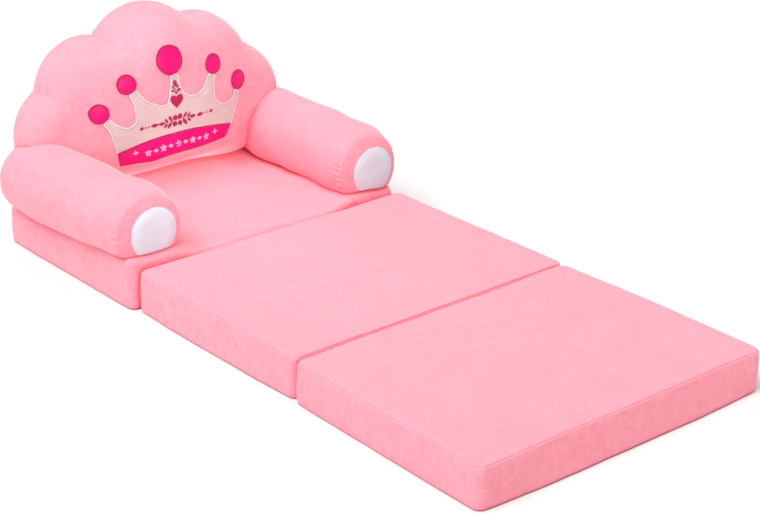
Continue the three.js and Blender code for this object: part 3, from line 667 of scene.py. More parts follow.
def arm_sleeve(side, name, seed, material):
    marks = pleat_marks(seed + 20), pleat_marks(seed + 21)
    uneven = 1 + 0.6 * waves(ARM_UNIT, 1.1, seed)
    folds = np.sin(36 * ARM_TURNS + 2.4 * waves(ARM_UNIT, 0.9, seed + 1))
    fine = np.sin(61 * ARM_TURNS + 3 * waves(ARM_UNIT, 0.8, seed + 2))
    middle = np.arange(ARM_FRONT_Y + 46, ARM_REAR_Y - 42, 6.0)
    front, rear = ARM_FRONT_Y + 0.15 + SLEEVE_STEPS, ARM_REAR_Y - 0.15 - SLEEVE_STEPS[::-1]
    rings = []
    for y in np.concatenate([front, middle, rear]):
        ends = y - ARM_FRONT_Y, ARM_REAR_Y - y
        radius = arm_radius(y) + np.zeros(ARM_AROUND)
        for apart, end_marks in zip(ends, marks):
            if apart < PLEAT_REACH:
                radius -= pleat_grooves(apart, end_marks)
            reach = apart * math.exp(1 - apart / 5.0) / 5.0
            tail = math.exp(-apart / 13.0) * min(apart, 4) / 4
            radius += folds * (0.42 * reach + 0.2 * tail) * uneven + 0.2 * fine * reach
            radius += 1.5 * math.exp(-(((apart - 7) / 6) ** 2)) - math.exp(-apart / 0.9)
        ring = arm_ring(side, y, radius)
        lumpy = lumps(ring, ARM_LUMPS, seed + 3) * smooth_step(min(ends), 2, 34)
        ring[:, 0] += ARM_UNIT[:, 0] * lumpy
        ring[:, 2] -= ARM_UNIT[:, 1] * lumpy
        rings.append(rest_on_seat(ring, 0.5))
    for y in np.linspace(ARM_REAR_Y - 0.6, ARM_FRONT_Y + 0.6, 12):
        rings.append(rest_on_seat(arm_ring(side, y, arm_radius(y) - ARM_WALL), 3.5))
    return add_mesh(f"{name}_arm_plush_sleeve", *loft(rings, closed=True), material)


def arm_end(side, name, word, seed, material):
    """The gathered panel that closes an arm, as a thin closed shell."""
    seam, way, radius, depth, power = ARM_ENDS[word]
    radius -= END_INSET
    folds = np.sin(23 * ARM_TURNS + 2.5 * waves(ARM_UNIT, 1.0, seed))

    def dome(at, radius, shares, ripple, gap):
        """Rings of the domed end, from share to share of its radius."""
        rings = []
        for share in shares:
            ring = arm_ring(side, at + way * depth * (1 - share**power), radius * share, at)
            fade = smooth_step(share, 0.62, 0.93) * (1 - smooth_step(share, 0.965, 1.0))
            lumpy = 0.5 * waves(ring, 45, seed + 1) * (1 - share**4)
            ring[:, 1] += way * (ripple * folds * fade + lumpy)
            rings.append(rest_on_seat(ring, gap, 1.2))
        return rings

    rings = dome(seam - way * 2.5, radius - 1.5, END_LINING_SHARES, 0, 3.0)
    rings += dome(seam + way * END_GAP, radius, END_SHARES, 0.35, 0.5)
    return add_closed(f"{name}_arm_plush_{word}", rings, material)


def disc_front(side, x, z):
    """The front panel's y under a point of the white disc."""
    centre_x, centre_z = arm_centre(side, ARM_FRONT_Y)
    share = np.hypot(x - centre_x, z - centre_z) / (ARM_FRONT_RADIUS - END_INSET)
    return ARM_FRONT_Y - END_GAP - ARM_NOSE * (1 - np.clip(share, 0, 1) ** NOSE_POWER)


def arm_disc(side, name, seed, material):
    """The white disc sewn on an arm's end."""
    centre_x, centre_z = np.add(arm_centre(side, ARM_FRONT_Y), DISC_SHIFT[side])
    rings = []
    for share, proud in DISC_PROFILE:
        radius = DISC_RADIUS[side] * share * (1 + 0.006 * np.sin(3 * ARM_TURNS + seed))
        x = centre_x + radius * ARM_UNIT[:, 0]
        z = centre_z - radius * ARM_UNIT[:, 1]
        ring = np.column_stack([x, disc_front(side, x, z) - proud, z])
        ring[:, 1] -= 0.25 * waves(ring, 24, seed) * smooth_step(1 - share, 0.05, 0.3)
        rings.append(rest_on_seat(ring, 0.9, 1.0))
    back = [centre_x, disc_front(side, centre_x, centre_z) + 1.2, centre_z]
    return add_mesh(f"{name}_arm_white_disc", *loft(rings, back, rings[-1].mean(0)), material)


def arm_stuffing(side, name, material):
    shares = (0.15, 0.45, 0.75, 0.92)
    rings = []
    for share in shares:
        y = ARM_FRONT_Y + 4 - (ARM_NOSE - 2) * (1 - share**3)
        rings.append(arm_ring(side, y, (ARM_FRONT_RADIUS - 7) * share, ARM_FRONT_Y))
    for y in np.linspace(ARM_FRONT_Y + 6, ARM_REAR_Y - 6, 12):
        rings.append(arm_ring(side, y, arm_radius(y) - 7.5))
    for share in shares[::-1]:
        y = ARM_REAR_Y - 4 + (ARM_TAIL - 5) * (1 - share**TAIL_POWER)
        rings.append(arm_ring(side, y, (ARM_REAR_RADIUS - 7) * share, ARM_REAR_Y))
    rings = [rest_on_seat(ring[::9], 5.5, 1.0) for ring in rings]
    return add_closed(f"{name}_arm_stuffing", rings, material)


# Backrest
RING_SHARES = np.concatenate(
    [
        [0, 0.0015, 0.004, 0.008, 0.013, 0.019, 0.026, 0.034, 0.044, 0.055, 0.067],
        np.linspace(0.082, 0.36, 17),
        np.linspace(0.38, 0.97, 26),
    ]
)
LINING_SHARES = (0.9, 0.75, 0.62, 0.52, 0.43, 0.35, 0.28, 0.22, 0.17, 0.12, 0.08, 0.03)
LIP_SHARES = (0.0, 0.08, 0.18, 0.32, 0.5, 0.75)
FRONT_WALL_SHARES = np.array([1.0, 0.985, 0.96, 0.92, 0.85, 0.7, 0.5, 0.25])
REAR_WALL_SHARES = np.array([0, 0.015, 0.04, 0.08, 0.14, 0.22, 0.32, 0.44, 0.58, 0.76, 0.94])
CREASE_LENGTHS = (14, 18, 30, 18)


def lobe_crossing(left, right):
    """Where two neighbouring lobes meet, on their outer side."""
    apart = np.subtract(right[:2], left[:2])
    span = np.linalg.norm(apart)
    along = (span**2 + left[2] ** 2 - right[2] ** 2) / (2 * span)
    off = math.sqrt(left[2] ** 2 - along**2)
    return left[:2] + (apart * along + np.array([-apart[1], apart[0]]) * off) / span


CROSSINGS = [lobe_crossing(a, b) for a, b in zip(LOBES, LOBES[1:])]


def back_outline():
    points = []
    for index, (across, up, radius) in enumerate(LOBES):
        meets = CROSSINGS[max(index - 1, 0) : index + 1]
        angles = [math.atan2(z - up, x - across) for x, z in meets]
        start = angles[0] if index else SIDE_START
        end = angles[-1] if index < len(CROSSINGS) else math.pi - SIDE_START
        if end > start:
            end -= 2 * math.pi
        count = int(abs(end - start) * radius / OUTLINE_STEP)
        way = around(start + (end - start) * np.arange(count) / count)
        points.append([across, up] + radius * way)
    edge = np.concatenate(points)
    for _ in range(3):
        ends = edge[[0, -1]]
        edge = (np.roll(edge, 1, 0) + 2 * edge + np.roll(edge, -1, 0)) / 4
        edge[[0, -1]] = ends
    share = np.linspace(0.965, -0.965, FOOT_COUNT)
    foot = np.stack([BACK_HALF * share, np.full(FOOT_COUNT, BACK_FOOT)], 1)
    return np.concatenate([edge, foot])


OUTLINE = back_outline()


def outline_depth(flat):
    """Distance of points in the outline's plane from the scalloped edge, the foot left out."""
    start = OUTLINE[:-FOOT_COUNT]
    return distance_to(flat, start, OUTLINE[1 : len(start) + 1] - start)


def membrane():
    """A blown-up skin over the outline, free at the foot, on a grid: 0 at the edge, 1 at most.

    Near the edge its slope is kept too, carried a few cells outwards.
    """
    x = np.arange(GRID_LEFT, -GRID_LEFT + 1, GRID_STEP)
    up = np.arange(0.0, GRID_TOP, GRID_STEP)
    flat = np.stack(np.meshgrid(x, up), -1).reshape(-1, 2)
    inside = inside_loop(flat + [0, 1.5], OUTLINE)
    depth = np.where(inside, outline_depth(flat), 0).reshape(len(up), len(x))
    skin = np.minimum(depth / SWELL_REACH, 1)
    load = (GRID_STEP / SWELL_REACH) ** 2

    def neighbours(grid, mode):
        padded = np.pad(grid, 1, mode=mode)
        return padded[:-2, 1:-1] + padded[2:, 1:-1] + padded[1:-1, :-2] + padded[1:-1, 2:]

    for _ in range(500):
        skin = np.where(depth > 0, (neighbours(skin, "edge") + load) / (4 + load), 0)
    slope = skin / np.maximum(depth, 1e-6)
    known = depth > 3
    for _ in range(6):
        near = neighbours(known.astype(float), "constant")
        spread = neighbours(slope * known, "constant") / np.maximum(near, 1e-6)
        slope = np.where(known, slope, spread)
        known = known | (near > 0)
    return skin, slope


SKIN_GRID, SLOPE_GRID = membrane()


def grid_value(grid, flat):
    column = np.clip((flat[:, 0] - GRID_LEFT) / GRID_STEP, 0, grid.shape[1] - 1.001)
    row = np.clip(flat[:, 1] / GRID_STEP, 0, grid.shape[0] - 1.001)
    c, r = column.astype(int), row.astype(int)
    right, up = column - c, row - r
    low = grid[r, c] * (1 - right) + grid[r, c + 1] * right
    high = grid[r + 1, c] * (1 - right) + grid[r + 1, c + 1] * right
    return low * (1 - up) + high * up


def pillow_rise(flat, depth):
    near = grid_value(SLOPE_GRID, flat) * depth
    far = grid_value(SKIN_GRID, flat)
    skin = near + (far - near) * smooth_step(depth, 5, 14)
    return np.clip(skin, 0, 1) ** SWELL_POWER


def seam_y(up):
    """The seam's plane, leaning back, with its foot drawn back over the seat's edge."""
    shift = FOOT_SHIFT * (1 - smooth_step(up, 0, FOOT_REACH))
    return BACK_Y + up * math.sin(BACK_LEAN) + shift


def front_face(flat, depth, inset=0.0):
    """The front panel's y: fullest in the middle, tucked under at the foot."""
    x, up = np.abs(flat[:, 0]), flat[:, 1]
    power = UNDER_POWER + (SIDE_UNDER_POWER - UNDER_POWER) * smooth_step(x, *UNDER_ACROSS)
    share = np.clip(up / UNDER_REACH, 0, 1)
    under = (1 - (1 - share) ** 2) ** power
    bulge = BULGE_LOW + (BULGE_HIGH - BULGE_LOW) * smooth_step(up, *BULGE_UP)
    bulge = bulge * np.clip(1 - (x / BULGE_HALF) ** 2, 0, 1) ** BULGE_POWER
    return seam_y(up) - (BACK_FRONT_CROWN + bulge - inset) * pillow_rise(flat, depth) * under


def rear_face(flat, depth, inset=0.0):
    share = np.clip(flat[:, 1] / UNDER_REACH, 0, 1)
    rise = pillow_rise(flat, depth) * np.sqrt(1 - (1 - share) ** 2)
    return seam_y(flat[:, 1]) + BACK_WALL + (BACK_REAR_CROWN - inset) * rise


def front_lumps(flat, depth):
    return lumps(flat, FRONT_LUMPS, 31) * smooth_step(depth, *LUMPS_START)


def valley_creases(flat, seed):
    """Folds that run in from the valleys, carrying on the arc of the lobe on the left."""
    rng = np.random.default_rng(seed)
    sink = np.zeros(len(flat))
    for crossing, lobe, length in zip(CROSSINGS, LOBES, CREASE_LENGTHS):
        out = (crossing - lobe[:2]) / lobe[2]
        inward = np.array([out[1], -out[0]])
        apart = flat - crossing
        for low, high, depth, reach, width in (
            (-0.35, -0.2, 2.4, length, 3.2),
            (-0.9, -0.7, 0.9, length * 0.5, 2.4),
            (0.25, 0.4, 0.7, length * 0.4, 2.2),
        ):
            way = turned(inward, rng.uniform(low, high))
            along = apart @ way
            across = apart @ np.array([-way[1], way[0]]) + 0.08 * along * np.sin(along / 9)
            fade = np.exp(-np.clip(along, 0, None) / reach) * (along > -4)
            lips = bump(np.abs(across) - 2.4 * width, 1.5 * width)
            sink += depth * fade * (bump(across, width) - 0.45 * lips)
    return sink


def arm_end_y(x, z):
    """How far back an arm reaches at a point of its outline, or far forward outside it."""
    reach = np.full(len(x), -FAR)
    for side in (-1, 1):
        centre_x, centre_z = arm_centre(side, ARM_REAR_Y)
        radius = np.hypot(x - centre_x, z - centre_z)
        tail = ARM_REAR_Y + 1.5 + ARM_TAIL * (1 - (radius / ARM_REAR_RADIUS) ** TAIL_POWER)
        shoulder = np.sqrt(np.clip((ARM_RADIUS - radius) / (ARM_RADIUS - ARM_REAR_RADIUS), 0, 1))
        sleeve = ARM_REAR_Y - ARM_REAR_SHOULDER * (1 - shoulder)
        here = np.where(radius < ARM_REAR_RADIUS, tail, sleeve) + 1.2
        reach = np.maximum(reach, np.where(radius < ARM_RADIUS - ARM_LAP, here, -FAR))
    return reach


def back_z(up):
    return BACK_Z + up * math.cos(BACK_LEAN)


def back_ring(share):
    return OUTLINE + (np.array(BACK_HUB) - OUTLINE) * share


def outline_normals():
    along = np.roll(OUTLINE, -3, 0) - np.roll(OUTLINE, 3, 0)
    return np.insert(left_of(along), 1, 0, axis=1)


def back_panel(front, seed, material):
    """One side of the pillow as a closed shell: its skin, then its lining back to the seam."""
    gather = np.sin(run_around(OUTLINE) / 2.3 + 2.6 * waves(OUTLINE, 60, seed))
    gather *= 0.3 * (0.6 + 0.4 * waves(OUTLINE, 90, seed + 1))
    side = -1 if front else 1

    def skin(share, lining):
        flat = back_ring(share)
        depth = outline_depth(flat)
        if front:
            y = front_face(flat, depth, lining) - front_lumps(flat, depth)
        else:
            lumpy = lumps(flat, REAR_LUMPS, 41) * smooth_step(depth, *LUMPS_START)
            y = rear_face(flat, depth, lining) + lumpy
        if not lining:
            pucker = gather * depth / 5 * np.exp(1 - depth / 5)
            y = y + side * (pucker - valley_creases(flat, seed) * smooth_step(depth, 0, 3))
        z = back_z(flat[:, 1])
        over_arm = lining if front else 3.5 - lining / 2
        y = np.maximum(y, arm_end_y(flat[:, 0], z) + over_arm)
        points = np.column_stack([flat[:, 0], y, z])
        return rest_on_seat(points, 0.6 + lining, 0.8) if share < 0.4 else points

    rings = [skin(share, 0.0) for share in RING_SHARES]
    edge, outward = rings[0], outline_normals()
    # The seam lies at the front of the narrow side wall, but behind it on the sitter's right
    behind = 0.93 * (1 - smooth_step(OUTLINE[:, 0], -70, 30)) * smooth_step(OUTLINE[:, 1], 85, 115)
    if front:
        places = [behind * share for share in FRONT_WALL_SHARES]
        rings = [edge + (rings[1] - edge) * share for share in LIP_SHARES] + rings[1:]
    else:
        places = [behind + (1 - behind) * share for share in REAR_WALL_SHARES]
    walls = []
    for place in places:
        wall = edge + outward * (WALL_BULGE * np.sin(np.pi * place))[:, None]
        wall[:, 1] = edge[:, 1] + BACK_WALL * (place if front else place - 1)
        walls.append(wall)
    inner = [skin(share, LINING) for share in LINING_SHARES]
    turned_in = edge - outward * LINING
    if front:
        inner.append(turned_in.copy())
    turned_in[:, 1] = walls[0][:, 1]
    word = "front" if front else "rear"
    return add_closed(f"backrest_plush_{word}", inner + [turned_in] + walls + rings, material)


def back_stuffing(material):
    shares = (0.9, 0.7, 0.5, 0.35, 0.22, 0.13, 0.08)
    rings = []
    for front, share in [(True, s) for s in shares] + [(False, s) for s in shares[::-1]]:
        flat = back_ring(share)[::8].copy()
        between_arms = 145 + 87 * smooth_step(flat[:, 1], 105, 150)
        flat[:, 0] = np.clip(flat[:, 0], -between_arms, between_arms)
        depth = np.maximum(outline_depth(flat) - 4, 0)
        y = front_face(flat, depth, LINING) + 5 if front else rear_face(flat, depth, LINING) - 7
        ring = np.column_stack([flat[:, 0], y, back_z(flat[:, 1])])
        rings.append(rest_on_seat(ring, 6, 1))
    return add_closed("backrest_stuffing", rings, material)


# Appliques on the backrest's front
CORD_SIDES = 10
CORD_UNDER = 0.9


def on_back(flat, proud):
    """Points of x and z laid on the backrest's front, proud of it."""
    x, z = flat.T
    plane = np.column_stack([x, (z - BACK_Z) / math.cos(BACK_LEAN)])
    depth = outline_depth(plane)
    y = front_face(plane, depth) - front_lumps(plane, depth)
    return np.column_stack([x, y - proud, z])


def patch(name, loop, spacing, puff, thickness, base, material, ripple=None):
    """A cloth shape on the backrest: its top skin, its underside and a rim between.

    puff is how far its middle rises, and how fast from its edge.
    """
    flat, faces = filled(loop, spacing)
    depth = loop_distance(flat, loop)
    proud = base + puff[0] * (1 - np.exp(-depth / puff[1]))
    if ripple is not None:
        proud = proud + ripple(flat, depth)
    count = len(flat)
    quads = [[a, b, b + count, a + count] for a, b in rim_of(faces)]
    back = (faces[:, ::-1] + count).tolist()
    points = np.concatenate([on_back(flat, proud), on_back(flat, base - thickness)])
    return add_mesh(name, points, faces.tolist() + back + quads, material)


def cord_on_back(name, loop, half_width, height, base, material, closed=True):
    """A stitched border: a low rounded band along a loop."""
    way = np.roll(loop, -1, 0) - np.roll(loop, 1, 0)
    if not closed:
        way[0], way[-1] = loop[1] - loop[0], loop[-1] - loop[-2]
    normal = left_of(way)
    rings = []
    for cos, sin in around(turns(CORD_SIDES)):
        lift = sin * (height if sin > 0 else CORD_UNDER)
        rings.append(on_back(loop + normal * cos * half_width, base + lift))
    points, faces = loft(rings, ring_closed=closed, closed=True)
    if not closed:
        starts = [row * len(loop) for row in range(CORD_SIDES)]
        faces += [starts, [start + len(loop) - 1 for start in starts][::-1]]
    cord = add_mesh(name, points, faces, material)
    set_run(cord, np.tile(run_along(loop), CORD_SIDES))
    return cord


def blob(x, z, half_long, half_wide, turn, rise, base, tip=1.0):
    """A stitched dot or leaf, as points, faces and run: an oval or pointed low mound."""
    cos, sin = around(turns(20)).T
    across = sin * np.maximum(1 - (1 - tip) * np.abs(cos) ** 1.5, 0.05)
    shape = np.column_stack([cos * half_long, across * half_wide])
    points, runs = [], []
    for share, lift in ((1.0, -0.7), (1.0, 0.1), (0.9, 0.6), (0.6, 0.92), (0.25, 1.0)):
        points.append(on_back(turned(shape * share, turn) + [x, z], base + rise * lift))
        runs.append(shape[:, 0] * share)
    mound = loft(points, points[0].mean(0), points[-1].mean(0))
    return *mound, np.concatenate(runs + [[0.0, 0.0]])


def sparkle(x, z, size, base):
    """A four-pointed stitched star, as two crossed slim leaves."""
    return [
        blob(x, z, size, size * 0.26, 0, 0.8, base, 0.25),
        blob(x, z, size * 0.8, size * 0.26, math.pi / 2, 0.8, base, 0.25),
        blob(x, z, size * 0.3, size * 0.3, 0, 1.0, base),
    ]


def flower(x, z, base):
    """Five stitched petals around a bead."""
    petals = []
    for turn in turns(5) + math.pi / 2:
        at = x + PETAL_REACH * math.cos(turn), z + PETAL_REACH * math.sin(turn)
        petals.append(blob(*at, 2.7, 1.8, turn, 0.8, base, 0.7))
    return petals + [blob(x, z, 1.4, 1.4, 0, 1.0, base)]


def join(name, parts, material):
    """Several stitched shapes as one piece."""
    points, faces, runs = [], [], []
    for part_points, part_faces, run in parts:
        offset = sum(len(p) for p in points)
        points.append(part_points)
        runs.append(run)
        faces += [[i + offset for i in face] for face in part_faces]
    piece = add_mesh(name, np.concatenate(points), faces, material)
    set_run(piece, np.concatenate(runs))
    return piece


# Materials
class Shader:
    """A material's node tree, with short words for the nodes that it needs."""

    def __init__(self, name):
        self.material = bpy.data.materials.new(name)
        self.material.use_nodes = True
        self.tree = self.material.node_tree
        self.bsdf = self.tree.nodes["Principled BSDF"]
        self.place = self.add("ShaderNodeTexCoord").outputs["Object"]

    def feed(self, node, inputs):
        for key, value in inputs.items():
            if isinstance(value, bpy.types.NodeSocket):
                self.tree.links.new(value, node.inputs[key])
            else:
                node.inputs[key].default_value = value

    def add(self, kind, inputs=None, **settings):
        node = self.tree.nodes.new(kind)
        for key, value in settings.items():
            setattr(node, key, value)
        self.feed(node, inputs or {})
        return node

    def stretch(self, scale):
        inputs = {"Vector": self.place, "Scale": scale}
        return self.add("ShaderNodeMapping", inputs).outputs["Vector"]

    def noise(self, scale, detail, rough=0.5, warp=0.0, place=None):
        inputs = {"Vector": place or self.place, "Scale": scale, "Detail": detail}
        inputs.update({"Roughness": rough, "Distortion": warp})
        return self.add("ShaderNodeTexNoise", inputs).outputs["Fac"]

    def cells(self, scale, place=None):
        inputs = {"Vector": place or self.place, "Scale": scale}
        return self.add("ShaderNodeTexVoronoi", inputs).outputs["Distance"]

    def maths(self, what, a, b=0.0):
        return self.add("ShaderNodeMath", {0: a, 1: b}, operation=what).outputs[0]

    def span(self, value, low, high, to_low=0.0, to_high=1.0):
        inputs = {0: value, 1: low, 2: high, 3: to_low, 4: to_high}
        return self.add("ShaderNodeMapRange", inputs).outputs[0]

    def mix(self, share, a, b):
        inputs = {0: share, 6: a, 7: b}
        return self.add("ShaderNodeMix", inputs, data_type="RGBA").outputs[2]

    def tint(self, colour, other, value, low, high, at_low, at_high=0.0):
        """The colour, mixed with another by at_low to at_high as the value goes low to high."""
        return self.mix(self.span(value, low, high, at_low, at_high), colour, other)

    def relief(self, *layers):
        """Bumps over each other, each a height, a strength and a distance."""
        bumps = {}
        for height, strength, distance in layers:
            inputs = {"Height": height, "Strength": strength, "Distance": distance, **bumps}
            bumps = {"Normal": self.add("ShaderNodeBump", inputs).outputs["Normal"]}
        return bumps["Normal"]

    def steepness(self):
        """0 where the surface lies level, 1 where it stands upright."""
        normal = self.add("ShaderNodeTexCoord").outputs["Normal"]
        height = self.add("ShaderNodeSeparateXYZ", {0: normal}).outputs["Z"]
        return self.maths("SUBTRACT", 1.0, self.maths("ABSOLUTE", height))

    # Ambient occlusion, used to paint shade into hollows, creases and contacts
    def occlusion_shade(self, distance):
        inputs = {"Distance": distance}
        return self.add("ShaderNodeAmbientOcclusion", inputs, samples=6).outputs["AO"]

    def finish(self, colour, roughness, normal=None, **sockets):
        """Sets the surface's sockets, with _ for a space in their names."""
        sockets.update(Base_Color=colour, Roughness=roughness)
        if normal is not None:
            sockets["Normal"] = normal
        self.feed(self.bsdf, {key.replace("_", " "): value for key, value in sockets.items()})
        return self.material


def rgb(red, green, blue):
    return (red, green, blue, 1.0)


def plush(name, base, deep, pale, fold):
    """Short-pile velour: mottled nap, fine pile relief, and painted shade: the fold colour down in
    folds and contacts.
    """
    s = Shader(name)
    broad = s.noise(14, 2, 0.5, 0.3)
    nap = s.noise(80, 3, 0.6, 0.4, s.stretch((1, 1, 0.7)))
    brushed = s.noise(150, 3, 0.7, 0.6, s.stretch((1, 1, 0.55)))
    steep = s.span(s.steepness(), 0.3, 0.9)
    pile = s.noise(620, 2, 0.65)
    tips = s.noise(2600, 1)
    colour = s.tint(base, pale, broad, 0.3, 0.7, 0.0, 1.0)
    colour = s.tint(colour, deep, nap, 0.3, 0.65, 0.18)
    swept = s.span(brushed, 0.3, 0.6, 0.5, 0.0), s.span(steep, 0.0, 1.0, 0.25, 1.0)
    colour = s.mix(s.maths("MULTIPLY", *swept), colour, deep)
    colour = s.tint(colour, deep, pile, 0.34, 0.64, 0.42)
    # painted shade: where occlusion is low, in creases and contacts, the colour turns to the fold
    # colour
    colour = s.tint(colour, fold, s.occlusion_shade(0.011), 0.35, 0.95, 0.7)
    return s.finish(
        colour, 0.92, s.relief((nap, 0.15, 0.0012), (pile, 0.35, 0.0006), (tips, 0.3, 0.0002)),
        Subsurface_Weight=0.25, Subsurface_Radius=(1.0, 0.3, 0.35), Subsurface_Scale=0.008,
        Specular_IOR_Level=0.12, Sheen_Weight=0.4, Sheen_Roughness=0.45,
        Sheen_Tint=rgb(1.0, 0.83, 0.87),
    )


def satin(name, base, deep, rough, thread):
    """Woven satin: fine threads, soft ripples, a low shine and painted shade in hollows."""
    s = Shader(name)
    threads = s.noise(thread, 2, place=s.stretch((0.12, 1, 1)))
    ripple = s.noise(60, 2, 0.5, 0.4)
    colour = s.tint(base, deep, ripple, 0.35, 0.65, 0.0, 0.3)
    # painted shade: the colour darkens towards deep in hollows where occlusion is low
    colour = s.tint(colour, deep, s.occlusion_shade(0.005), 0.4, 0.95, 0.6)
    normal = s.relief((ripple, 0.2, 0.001), (threads, 0.35, 0.0002))
    return s.finish(colour, rough, normal, Specular_IOR_Level=0.16, Sheen_Weight=0.03)


def stitching(name, base, deep):
    """Satin stitch: close parallel threads."""
    s = Shader(name)
    run = s.add("ShaderNodeAttribute", attribute_name="run").outputs["Fac"]
    thread = 0.0011
    wave = s.span(s.maths("SINE", s.maths("MULTIPLY", run, 2 * math.pi / thread)), -1.0, 1.0)
    fuzz = s.noise(1400, 2, 0.6)
    colour = s.tint(base, deep, wave, 0.0, 0.6, 0.55)
    colour = s.tint(colour, deep, fuzz, 0.35, 0.65, 0.3)
    normal = s.relief((wave, 0.6, 0.0003), (fuzz, 0.3, 0.0002))
    return s.finish(colour, 0.5, normal, Specular_IOR_Level=0.3, Sheen_Weight=0.1)


def fleece(name, base, deep):
    s = Shader(name)
    tufts = s.noise(420, 3, 0.65, 0.5)
    colour = s.tint(base, deep, tufts, 0.35, 0.65, 0.5)
    colour = s.tint(colour, deep, s.noise(70, 2), 0.4, 0.7, 0.3)
    # painted shade: the colour darkens towards deep in hollows where occlusion is low
    colour = s.tint(colour, deep, s.occlusion_shade(0.006), 0.35, 0.95, 0.8)
    normal = s.relief((tufts, 0.5, 0.001), (s.noise(2200, 2, 0.6), 0.4, 0.0003))
    shine = dict(Specular_IOR_Level=0.1, Sheen_Weight=0.3, Sheen_Roughness=0.5)
    return s.finish(colour, 0.95, normal, **shine)


def foam(name, base, deep):
    s = Shader(name)
    pores = s.cells(700)
    colour = s.tint(deep, base, pores, 0.1, 0.45, 0.0, 1.0)
    return s.finish(colour, 0.9, s.relief((pores, 0.5, 0.0004)))


def woven(name, base, deep, pitch):
    s = Shader(name)
    lines = []
    for turn in (0.0, math.pi / 2):
        inputs = {"Vector": s.place, "Rotation": (0, 0, turn)}
        place = s.add("ShaderNodeMapping", inputs).outputs["Vector"]
        inputs = {"Vector": place, "Scale": 0.5 / pitch}
        lines.append(s.add("ShaderNodeTexWave", inputs).outputs["Fac"])
    weave = s.maths("MULTIPLY", *lines)
    colour = s.tint(deep, base, weave, 0.0, 0.5, 0.0, 1.0)
    return s.finish(colour, 0.85, s.relief((weave, 0.4, 0.0003)), Sheen_Weight=0.2)


def grip(name, base, deep):
    """Thin non-slip sheet with small raised dots."""
    s = Shader(name)
    dots = s.span(s.cells(160, s.stretch((1, 1, 0))), 0.18, 0.3, 1.0, 0.0)
    colour = s.tint(base, deep, s.noise(60, 3, 0.6), 0.3, 0.7, 0.0, 0.6)
    return s.finish(s.mix(dots, colour, deep), 0.8, s.relief((dots, 0.6, 0.0005)))


def painted_metal(name, base, deep):
    s = Shader(name)
    wear = s.noise(500, 3, 0.6)
    colour = s.tint(base, deep, wear, 0.5, 0.7, 0.0, 1.0)
    return s.finish(colour, s.span(wear, 0.3, 0.7, 0.35, 0.6), s.relief((wear, 0.1, 0.0001)))


def studio_floor(name):
    s = Shader(name)
    colour = s.mix(s.noise(30, 2), rgb(0.765, 0.765, 0.765), rgb(0.775, 0.775, 0.775))
    return s.finish(colour, 0.85, Specular_IOR_Level=0.1)


# fold is the painted shade colour that the velour takes in creases and contacts
PLUSH = plush(
    "pink_velour",
    base=rgb(0.93, 0.362, 0.435),
    deep=rgb(0.88, 0.20, 0.265),
    pale=rgb(0.94, 0.385, 0.455),
    fold=rgb(1.0, 0.17, 0.235),
)
WHITE = fleece("white_fleece", rgb(0.66, 0.71, 0.77), rgb(0.58, 0.58, 0.66))
CREAM = satin("cream_satin", rgb(0.555, 0.46, 0.44), rgb(0.49, 0.375, 0.36), 0.42, 1800)
MAGENTA = satin("magenta_satin", rgb(0.74, 0.0012, 0.155), rgb(0.56, 0.001, 0.10), 0.4, 1500)
EDGE = stitching("dark_satin_stitch", rgb(0.45, 0.006, 0.10), rgb(0.28, 0.004, 0.06))
PIPING = stitching("pale_satin_stitch", rgb(0.87, 0.70, 0.74), rgb(0.74, 0.50, 0.56))
THREAD = stitching("magenta_thread", rgb(0.40, 0.0025, 0.08), rgb(0.27, 0.002, 0.05))
PALE_THREAD = stitching("pale_thread", rgb(0.93, 0.42, 0.6), rgb(0.8, 0.25, 0.42))
FOAM = foam("cream_foam", rgb(0.82, 0.74, 0.55), rgb(0.6, 0.5, 0.33))
FIBRE = fleece("polyester_fibre", rgb(0.86, 0.86, 0.88), rgb(0.7, 0.7, 0.74))
GRIP = grip("grip_sheet", rgb(0.16, 0.15, 0.155), rgb(0.08, 0.075, 0.08))
TAPE = woven("zip_tape", rgb(0.85, 0.34, 0.43), rgb(0.6, 0.16, 0.24), 0.0008)
HINGE = woven("hinge_cloth", rgb(0.86, 0.33, 0.42), rgb(0.62, 0.17, 0.25), 0.0012)
METAL = painted_metal("painted_zip_metal", rgb(0.85, 0.35, 0.44), rgb(0.5, 0.3, 0.32))


def declare(piece, slot, *nodes, body="sofa_section", fill=None):
    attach(piece, body)
    if nodes:
        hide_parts(*nodes)
    return piece


# The slabs
BODIES = {"seat": "sofa_section", "middle": "middle_section", "front": "front_section"}
for number, (name, body) in enumerate(BODIES.items()):
    cover = slab_cover(name, 10 + 7 * number, PLUSH)
    declare(cover, "plush", f"{name}_cover", body=body, fill=0.9)
    declare(slab_block(name, FOAM), "foam", f"{name}_foam", body=body, fill=1.0)
    sole = declare(sole_sheet(name, GRIP), "non_slip_sheet", f"{name}_sole", body=body)
    for part, paint in (("zip_tape_upper", TAPE), ("zip_tape_lower", TAPE), ("zip_slider", METAL)):
        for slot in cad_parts[f"{name}_{part}"].material_slots:
            slot.material = paint

# The hinges: each strip bends between two lines, a little to either side of its joint
JOINTS = (
    ("rear", 0.0, 3.7, 0.0, 6, "sofa_section", "middle_section"),
    ("front", -381.0, 56.6, 0.9, 7, "middle_section", "front_section"),
)
for name, joint_y, height, sag, skew, near, far in JOINTS:
    strip = hinge_cloth(f"{name}_fold_cloth", joint_y, height, sag, skew, HINGE)
    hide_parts(f"{name}_hinge_strip")
    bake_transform(strip)

